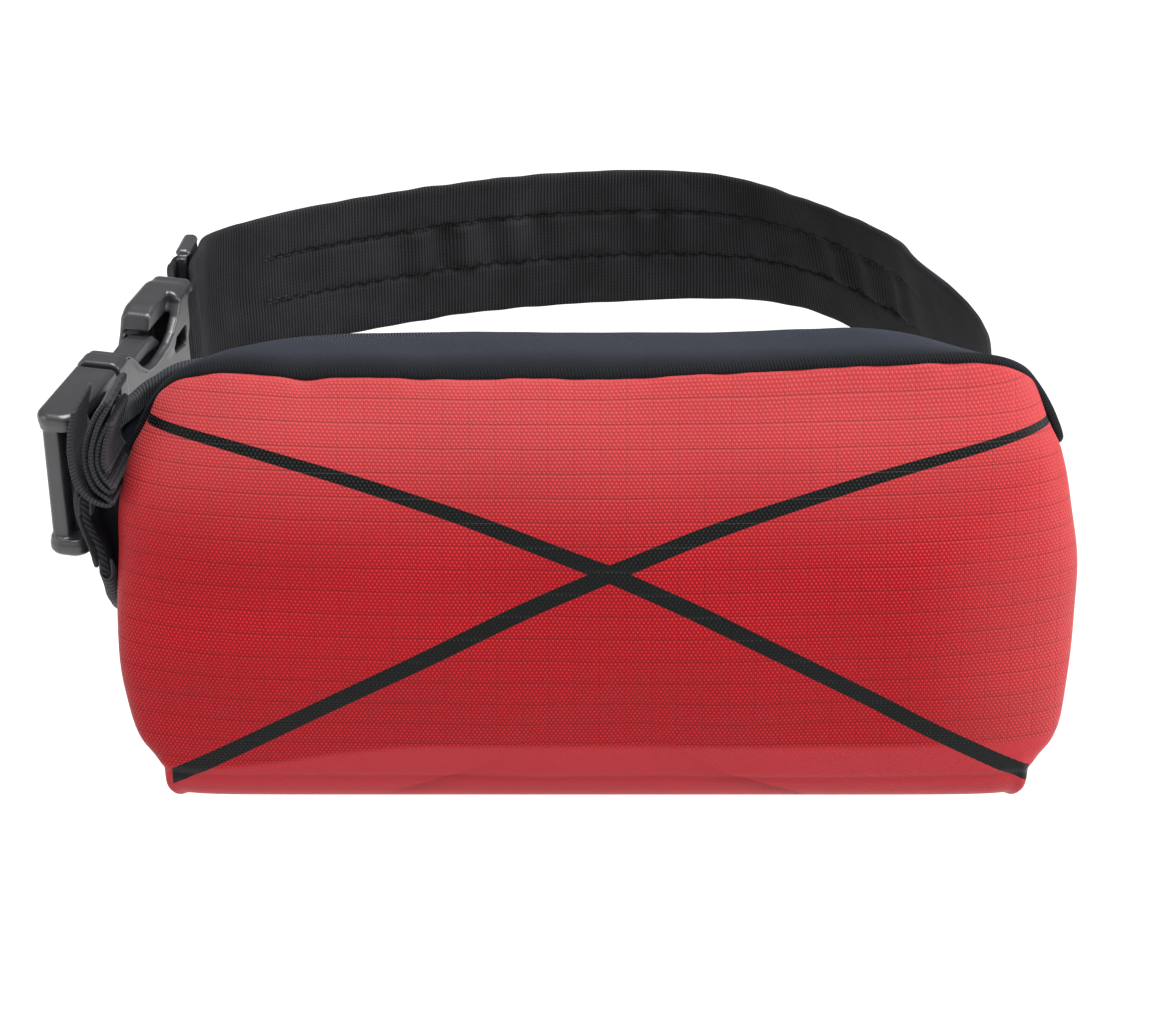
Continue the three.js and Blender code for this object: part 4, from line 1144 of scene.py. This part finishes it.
# %% Distance helpers
def rectangle(a, b, a0, b0, a1, b1, r=0.0):
    """Distance to a rounded rectangle: |max(q, 0)| + min(max(q), 0) - r, q = |p - centre| - half + r."""
    qa = np.abs(a - (a0 + a1) / 2) - (a1 - a0) / 2 + r
    qb = np.abs(b - (b0 + b1) / 2) - (b1 - b0) / 2 + r
    return np.hypot(np.maximum(qa, 0), np.maximum(qb, 0)) + np.minimum(np.maximum(qa, qb), 0) - r


def outline(a, b, corners, r=0.0):
    """Distance to a polygon, grown by r: the nearest side's distance, negative if inside."""
    corners = np.asarray(corners, float)
    nearest, inside = np.inf, False
    for (a0, b0), (a1, b1) in zip(corners, np.roll(corners, -1, axis=0)):
        da, db = a1 - a0, b1 - b0
        t = np.clip(((a - a0) * da + (b - b0) * db) / (da * da + db * db), 0, 1)
        nearest = np.minimum(nearest, np.hypot(a - a0 - t * da, b - b0 - t * db))
        crosses = ((b0 > b) != (b1 > b)) & (a < da * (b - b0) / (db + 1e-12) + a0)
        inside = inside ^ crosses
    return np.where(inside, -nearest, nearest) - r


def thick(flat, c, c0, c1, r=0.0):
    """A flat shape given thickness from c0 to c1, its edges rounded by r."""
    w, h = flat + r, np.abs(c - (c0 + c1) / 2) - (c1 - c0) / 2 + r
    return np.hypot(np.maximum(w, 0), np.maximum(h, 0)) + np.minimum(np.maximum(w, h), 0) - r


def join(first, *others, blend=0.6):
    """Union with a fillet: min(a, b) - max(k - |a - b|, 0)² / 4k."""
    for other in others:
        first = np.minimum(first, other) - np.maximum(blend - np.abs(first - other), 0) ** 2 / (4 * blend)
    return first


def cut(first, *others, blend=0.5):
    """The first shape without the others, with the new edges rounded."""
    for other in others:
        first = -join(-first, other, blend=blend)
    return first


def surface_of(field, low, high, step):
    """Points and faces where the field is zero. Each cube that the surface crosses gets the mean of its
    edges' crossing points, and each crossed edge joins its four cubes in a face."""
    axes = [np.arange(a, b + step, step) for a, b in zip(low, high)]
    value = field(*np.ix_(*axes))
    grid = np.stack(np.meshgrid(*axes, indexing="ij"), -1)
    shape = np.array(value.shape) - 1
    total, count = np.zeros((*shape, 3)), np.zeros(shape)
    crossings = []
    for axis in range(3):
        near = [slice(None)] * 3
        near[axis] = slice(None, -1)
        far = [slice(None)] * 3
        far[axis] = slice(1, None)
        f0, f1 = value[tuple(near)], value[tuple(far)]
        crossed = (f0 < 0) != (f1 < 0)
        t = np.where(crossed, f0 / np.where(crossed, f0 - f1, 1), 0)[..., None]
        point = (grid[tuple(near)] * (1 - t) + grid[tuple(far)] * t) * crossed[..., None]
        others = [i for i in range(3) if i != axis]
        for i in (0, 1):
            for j in (0, 1):
                pick = [slice(None)] * 3
                pick[others[0]] = slice(i, value.shape[others[0]] - 1 + i)
                pick[others[1]] = slice(j, value.shape[others[1]] - 1 + j)
                total += point[tuple(pick)]
                count += crossed[tuple(pick)]
        crossings.append((crossed, f0 < 0, others))
    used = count > 0
    number = np.full(shape, -1)
    number[used] = np.arange(used.sum())
    points = total[used] / count[used][:, None]
    faces = []
    for axis, (crossed, inside, others) in enumerate(crossings):
        at = np.argwhere(crossed)
        at = at[(at[:, others[0]] > 0) & (at[:, others[1]] > 0)]
        at = at[(at[:, others[0]] < shape[others[0]]) & (at[:, others[1]] < shape[others[1]])]
        ring = []
        for i, j in ((0, 0), (1, 0), (1, 1), (0, 1)):
            cube = at.copy()
            cube[:, others[0]] -= i
            cube[:, others[1]] -= j
            ring.append(number[tuple(cube.T)])
        ring = np.stack(ring, -1)
        turned = inside[tuple(at.T)] != (axis == 1)
        faces.append(np.where(turned[:, None], ring, ring[:, ::-1]))
    for _ in range(2):
        here = field(*points.T)
        slope = np.stack([field(*(points + 0.02 * np.eye(3)[i]).T) - here for i in range(3)], -1) / 0.02
        reach = np.maximum((slope**2).sum(-1), 0.3)
        points = points - np.clip(here / reach, -step / 2, step / 2)[:, None] * slope
    return points, np.concatenate(faces)


def moulded(name, field, low, high, step, x0, y0, z0, turn, rise, replaces):
    """A plastic piece from a field in its own frame: tipped by rise, turned in plan, then moved."""
    points, faces = surface_of(field, low, high, step)
    tip = np.arctan(rise)
    tipped = points @ np.array([[np.cos(tip), 0, np.sin(tip)], [0, 1, 0], [-np.sin(tip), 0, np.cos(tip)]])
    px, py = in_frame(x0, y0, turn)(tipped[:, 0], tipped[:, 1])
    points = np.column_stack([px, py, z0 + tipped[:, 2]])
    return new_piece(name, points, facing_out(points, faces), plastic_material, "buckle_plastic", replaces,
                     uv=points[:, [0, 2]])


# %% [markdown]
# ## The buckle's strap half
#
# Two ribs carry an upright frame: an end bar, a lock bar that the webbing goes round, and a root wall. From
# the root two sprung prongs reach back into the other half, and their broad outer faces are what the thumb
# and finger squeeze. A middle tongue keeps the halves in line.

# %% Strap half
HALF_BUCKLE, HALF_THICK, CHEEK = BUCKLE_HEIGHT / 2, BUCKLE_THICKNESS / 2, 5.2
PRONG_HIGH = [(-4.5, 17.0), (6, 17.2), (15, 17.6), (22, 18.3), (32, 18.7), (38, 17.4), (42.5, 13.6)]
PRONG_LOW = [(42.5, 11.4), (38, 12.6), (32, 13.6), (22, 13.6), (15, 13.0), (6, 11.5), (-4.5, 9.0)]


def strap_half(x, y, z):
    """Distance to the strap half, in the buckle's frame."""
    up = np.abs(z)
    space = HALF_BUCKLE - CHEEK
    bar = BAR_THICKNESS / 2

    def between_ribs(flat):
        """A flat shape carried from one rib to the other."""
        return thick(flat, z, -space - 1, space + 1)

    plan = np.maximum(rectangle(x, y, 0, -HALF_THICK, MALE_LENGTH + 8, HALF_THICK, 5.4), x - MALE_LENGTH)
    cheek = thick(plan, up, space, HALF_BUCKLE, 2.2)
    cheek = join(cheek, thick(plan + 0.5, up, space - 0.7, HALF_BUCKLE - 1.5, 0.5), blend=0.8)
    end_bar = between_ribs(rectangle(x, y, 2.0, -0.9, 8.6, HALF_THICK - 1.6, 1.8))
    inner_bar = between_ribs(rectangle(x, y, 5.4, -5.4, 9.6, -3.0, 1.0))
    lock = between_ribs(rectangle(x, y, LOCK_BAR_X - bar, LOCK_BAR_Y - bar, LOCK_BAR_X + bar,
                                  LOCK_BAR_Y + bar, 2.2))
    root = between_ribs(rectangle(x, y, MALE_LENGTH - 7.5, 0.4, MALE_LENGTH - 0.2, HALF_THICK - 0.7, 1.2))
    prong = outline(x - MALE_LENGTH, up, PRONG_HIGH + PRONG_LOW)
    prong = thick(prong, y, -HALF_THICK + 2.7, HALF_THICK - 2.7, 0.9)
    tongue = thick(rectangle(x, z, MALE_LENGTH - 6, -4, MALE_LENGTH + 32, 4, 2), y, -3.9, 3.9, 0.8)
    frame_part = join(cheek, end_bar, inner_bar, lock, root, blend=1.4)
    return join(frame_part, prong, tongue, blend=1.2)


BUCKLE_PLACE = (BUCKLE_X, BUCKLE_Y, belt_z(BUCKLE_Y) + BUCKLE_LIFT, BUCKLE_TURN, BUCKLE_RISE)
moulded("buckle_strap_half", strap_half, (-1, -8, -26), (79, 8, 26), 0.45, *BUCKLE_PLACE, ["buckle_male"])

# %% [markdown]
# ## The buckle's belt half
#
# A flat box with a thicker collar round its mouth. On each side a long scallop is cut away so that the
# prongs can be reached; the scallop in the plate that faces the wearer is longer and has a raised rim.
# Behind it the box swells into a hump with a slot, and ends in a bar for the band. Two lozenge holes
# lighten the plate; on the far face they are only shallow dimples, as no light shows through them.

# %% Belt half
FEMALE_START, PLATE = MALE_LENGTH + BUCKLE_SLACK, 1.9
OUTER_SCALLOP = [(45.7, 30), (46.4, 22.2), (48.5, 17.0), (52.5, 13.6), (58, 12.4), (64, 13.2), (68.4, 15.4),
                 (70.6, 18.6), (72.2, 22.4), (75.0, 30)]
INNER_SCALLOP = [(45.7, 30), (46.3, 24.8), (50.0, 21.4), (54.2, 16.9), (60.0, 12.9), (65.0, 11.9),
                 (71.0, 12.2), (77.0, 13.4), (81.4, 15.2), (85.4, 18.8), (88.0, 22.6), (89.5, 30)]
LOZENGE = [(82.9, 9.2), (84.6, 7.0), (92.6, 5.9), (93.4, 7.4), (92.2, 12.4), (84.4, 11.7)]


def belt_half(x, y, z):
    """Distance to the belt half, in the buckle's frame."""
    up = np.abs(z)
    end = FEMALE_START + FEMALE_LENGTH
    space = HALF_BUCKLE - CHEEK
    slot = BAND_HALF_AT_BUCKLE + 0.6
    body = thick(rectangle(x, z, FEMALE_START, -HALF_BUCKLE, end, HALF_BUCKLE, 4.4), y, -HALF_THICK,
                 HALF_THICK, 2.6)
    waist = 0.9 * bump(x, 58, 9) * (up > 6)
    body = body + waist * 0.35
    hump = thick(rectangle(x, up, 74.5, 8, end - 6.0, HALF_BUCKLE + 0.7, 5.0), y, -HALF_THICK - 0.3,
                 HALF_THICK + 0.5, 3.0)
    body = join(body, hump, blend=2.5)
    cavity = thick(rectangle(x, z, FEMALE_START - 6, -space + 0.4, end - 11.5, space - 0.4, 2), y,
                   -HALF_THICK + PLATE, HALF_THICK - PLATE, 0.8)
    outer = thick(outline(x, up, OUTER_SCALLOP), y, -HALF_THICK + PLATE, HALF_THICK + 3)
    inner = thick(outline(x, up, INNER_SCALLOP), y, -HALF_THICK - 3, -HALF_THICK + PLATE + 1.5)
    lozenge = thick(outline(x, up, LOZENGE, 0.4), y, -HALF_THICK - 3, HALF_THICK - PLATE)
    dimple = thick(outline(x, up, LOZENGE, 0.4), y, HALF_THICK - 0.7, HALF_THICK + 3)
    web = thick(rectangle(x, z, end - 8.5, -slot, end - WEB_BAR, slot, 0.8), y, -9, 9)
    body = cut(body, cavity, blend=0.5)
    body = cut(body, outer, inner, blend=1.3)
    rim = np.abs(outline(x, up, INNER_SCALLOP, 1.0)) - 0.75
    rim = thick(rim, y, -HALF_THICK - 0.75, -HALF_THICK + PLATE, 0.6)
    rim = np.maximum(rim, np.maximum(45.5 - x, up - HALF_BUCKLE + 1.4))
    body = join(body, rim, blend=0.8)
    deep, tall = HALF_THICK + 0.45, HALF_BUCKLE + 0.45
    collar = thick(rectangle(y, z, -deep, -tall, deep, tall, 3.0), x, FEMALE_START, FEMALE_START + 6.6, 0.9)
    mouth = thick(rectangle(y, z, -HALF_THICK + PLATE, -space + 0.4, HALF_THICK - PLATE, space - 0.4, 1.2),
                  x, FEMALE_START - 6, FEMALE_START + 12)
    body = join(body, collar, blend=0.7)
    step_in = rectangle(x, y, end - WEB_BAR - 0.6, 3.0, end + 4, 12, 0.6)
    step_out = rectangle(x, y, end - WEB_BAR - 0.6, -12, end + 4, -3.0, 0.6)
    trim = thick(np.minimum(step_in, step_out), z, -slot, slot)
    return cut(body, mouth, web, lozenge, dimple, trim, blend=0.6)


moulded("buckle_belt_half", belt_half, (35, -9, -27), (106, 9, 27), 0.5, *BUCKLE_PLACE, ["buckle_female"])

# %% [markdown]
# ## The slider
#
# Behind the buckle a three-bar slider holds the band's doubled end. Only the ends of its rails stand out
# above and below the band, as small round-topped knobs.


# %% Slider
def slider(x, y, z):
    """Distance to the slider, in its own frame."""
    up = np.abs(z)
    half, inner = SLIDER_LENGTH / 2, BELT_WIDTH / 2 + 0.7
    rail = thick(rectangle(x, up, -half + 3, inner, half - 3, SLIDER_HEIGHT / 2 + 0.3, 1.5), y, -2.6, 2.6, 2.0)
    rear = thick(rectangle(x, y, -half, -1.6, -half + 3.8, 1.6, 1.2), z, -inner - 1, inner + 1)
    middle = thick(rectangle(x, y, -2.2, 0.6, 1.6, 2.9, 0.9), z, -inner - 1, inner + 1)
    front = thick(rectangle(x, y, half - 3.8, -1.6, half, 1.6, 1.2), z, -inner - 1, inner + 1)
    return join(rail, rear, middle, front, blend=0.8)


SLIDER_PLACE = (SLIDER_X, SLIDER_Y, belt_z(SLIDER_Y), SLIDER_TURN, 0.0)
moulded("slider_body", slider, (-13, -5, -31), (13, 5, 31), 0.4, *SLIDER_PLACE, ["slide_adjuster"])

# %% [markdown]
# ## Floor, light and camera
#
# The pack is worn, so nothing of it rests on the floor. The floor is a wide pale sheet well below. The
# light is the plain soft sort of a product picture: a dim white world, a broad sun high above and a round
# lamp at each side.

# %% Floor
FLOOR_HALF, FLOOR_Z = 150, -0.62
floor_signs = ((-1, -1), (1, -1), (1, 1), (-1, 1))
floor_corners = [(FLOOR_HALF * x, FLOOR_HALF * y, FLOOR_Z) for x, y in floor_signs]
floor_mesh = bpy.data.meshes.new("floor")
floor_mesh.from_pydata(floor_corners, [], [(0, 1, 2, 3)])
floor = bpy.data.objects.new("floor", floor_mesh)
bpy.context.scene.collection.objects.link(floor)
floor_material = bpy.data.materials.new("pale_floor")
floor_material.use_nodes = True
floor_material.node_tree.nodes["Principled BSDF"].inputs["Base Color"].default_value = (0.56, 0.56, 0.56, 1)
floor_material.node_tree.nodes["Principled BSDF"].inputs["Roughness"].default_value = 0.9
floor_mesh.materials.append(floor_material)


# %% Light
def area_lamp(name, place, aim, size, power):
    """A round lamp at a place in metres, turned to shine at its aim."""
    lamp = bpy.data.lights.new(name, "AREA")
    lamp.shape, lamp.size, lamp.energy = "DISK", size, power
    holder = bpy.data.objects.new(name, lamp)
    bpy.context.scene.collection.objects.link(holder)
    holder.location = place
    line = np.array(aim) - np.array(place)
    flat = np.hypot(line[0], line[1])
    holder.rotation_euler = (np.arctan2(flat, -line[2]), 0, np.arctan2(line[1], line[0]) - np.pi / 2)


world = bpy.data.worlds.new("studio")
bpy.context.scene.world = world
world.use_nodes = True
world.node_tree.nodes["Background"].inputs["Color"].default_value = (1, 1, 1, 1)
world.node_tree.nodes["Background"].inputs["Strength"].default_value = 0.36
sun = bpy.data.lights.new("sun", "SUN")
sun.energy, sun.angle = 5.5, np.radians(45)
sun_holder = bpy.data.objects.new("sun", sun)
bpy.context.scene.collection.objects.link(sun_holder)
sun_holder.rotation_euler = (np.radians(13), 0, np.radians(20))
area_lamp("right_box", (1.3, -0.25, 0.3), (0.1, -0.1, 0), 1.0, 18)
area_lamp("left_box", (-1.3, -0.45, 0.4), (-0.1, -0.1, 0), 0.8, 3.5)
bpy.context.scene.view_settings.view_transform = "Standard"

# %% Camera
# fitted to the photo: 1.13 m in front, 0.46 m above and looking down by 25 degrees
camera_data = bpy.data.cameras.new("camera")
camera_data.lens, camera_data.sensor_width = 110.45, 36
camera = bpy.data.objects.new("camera", camera_data)
camera.location = (-0.0025, -1.1293, 0.4646)
camera.rotation_euler = (np.radians(65), 0, 0)
bpy.context.scene.collection.objects.link(camera)
bpy.context.scene.camera = camera
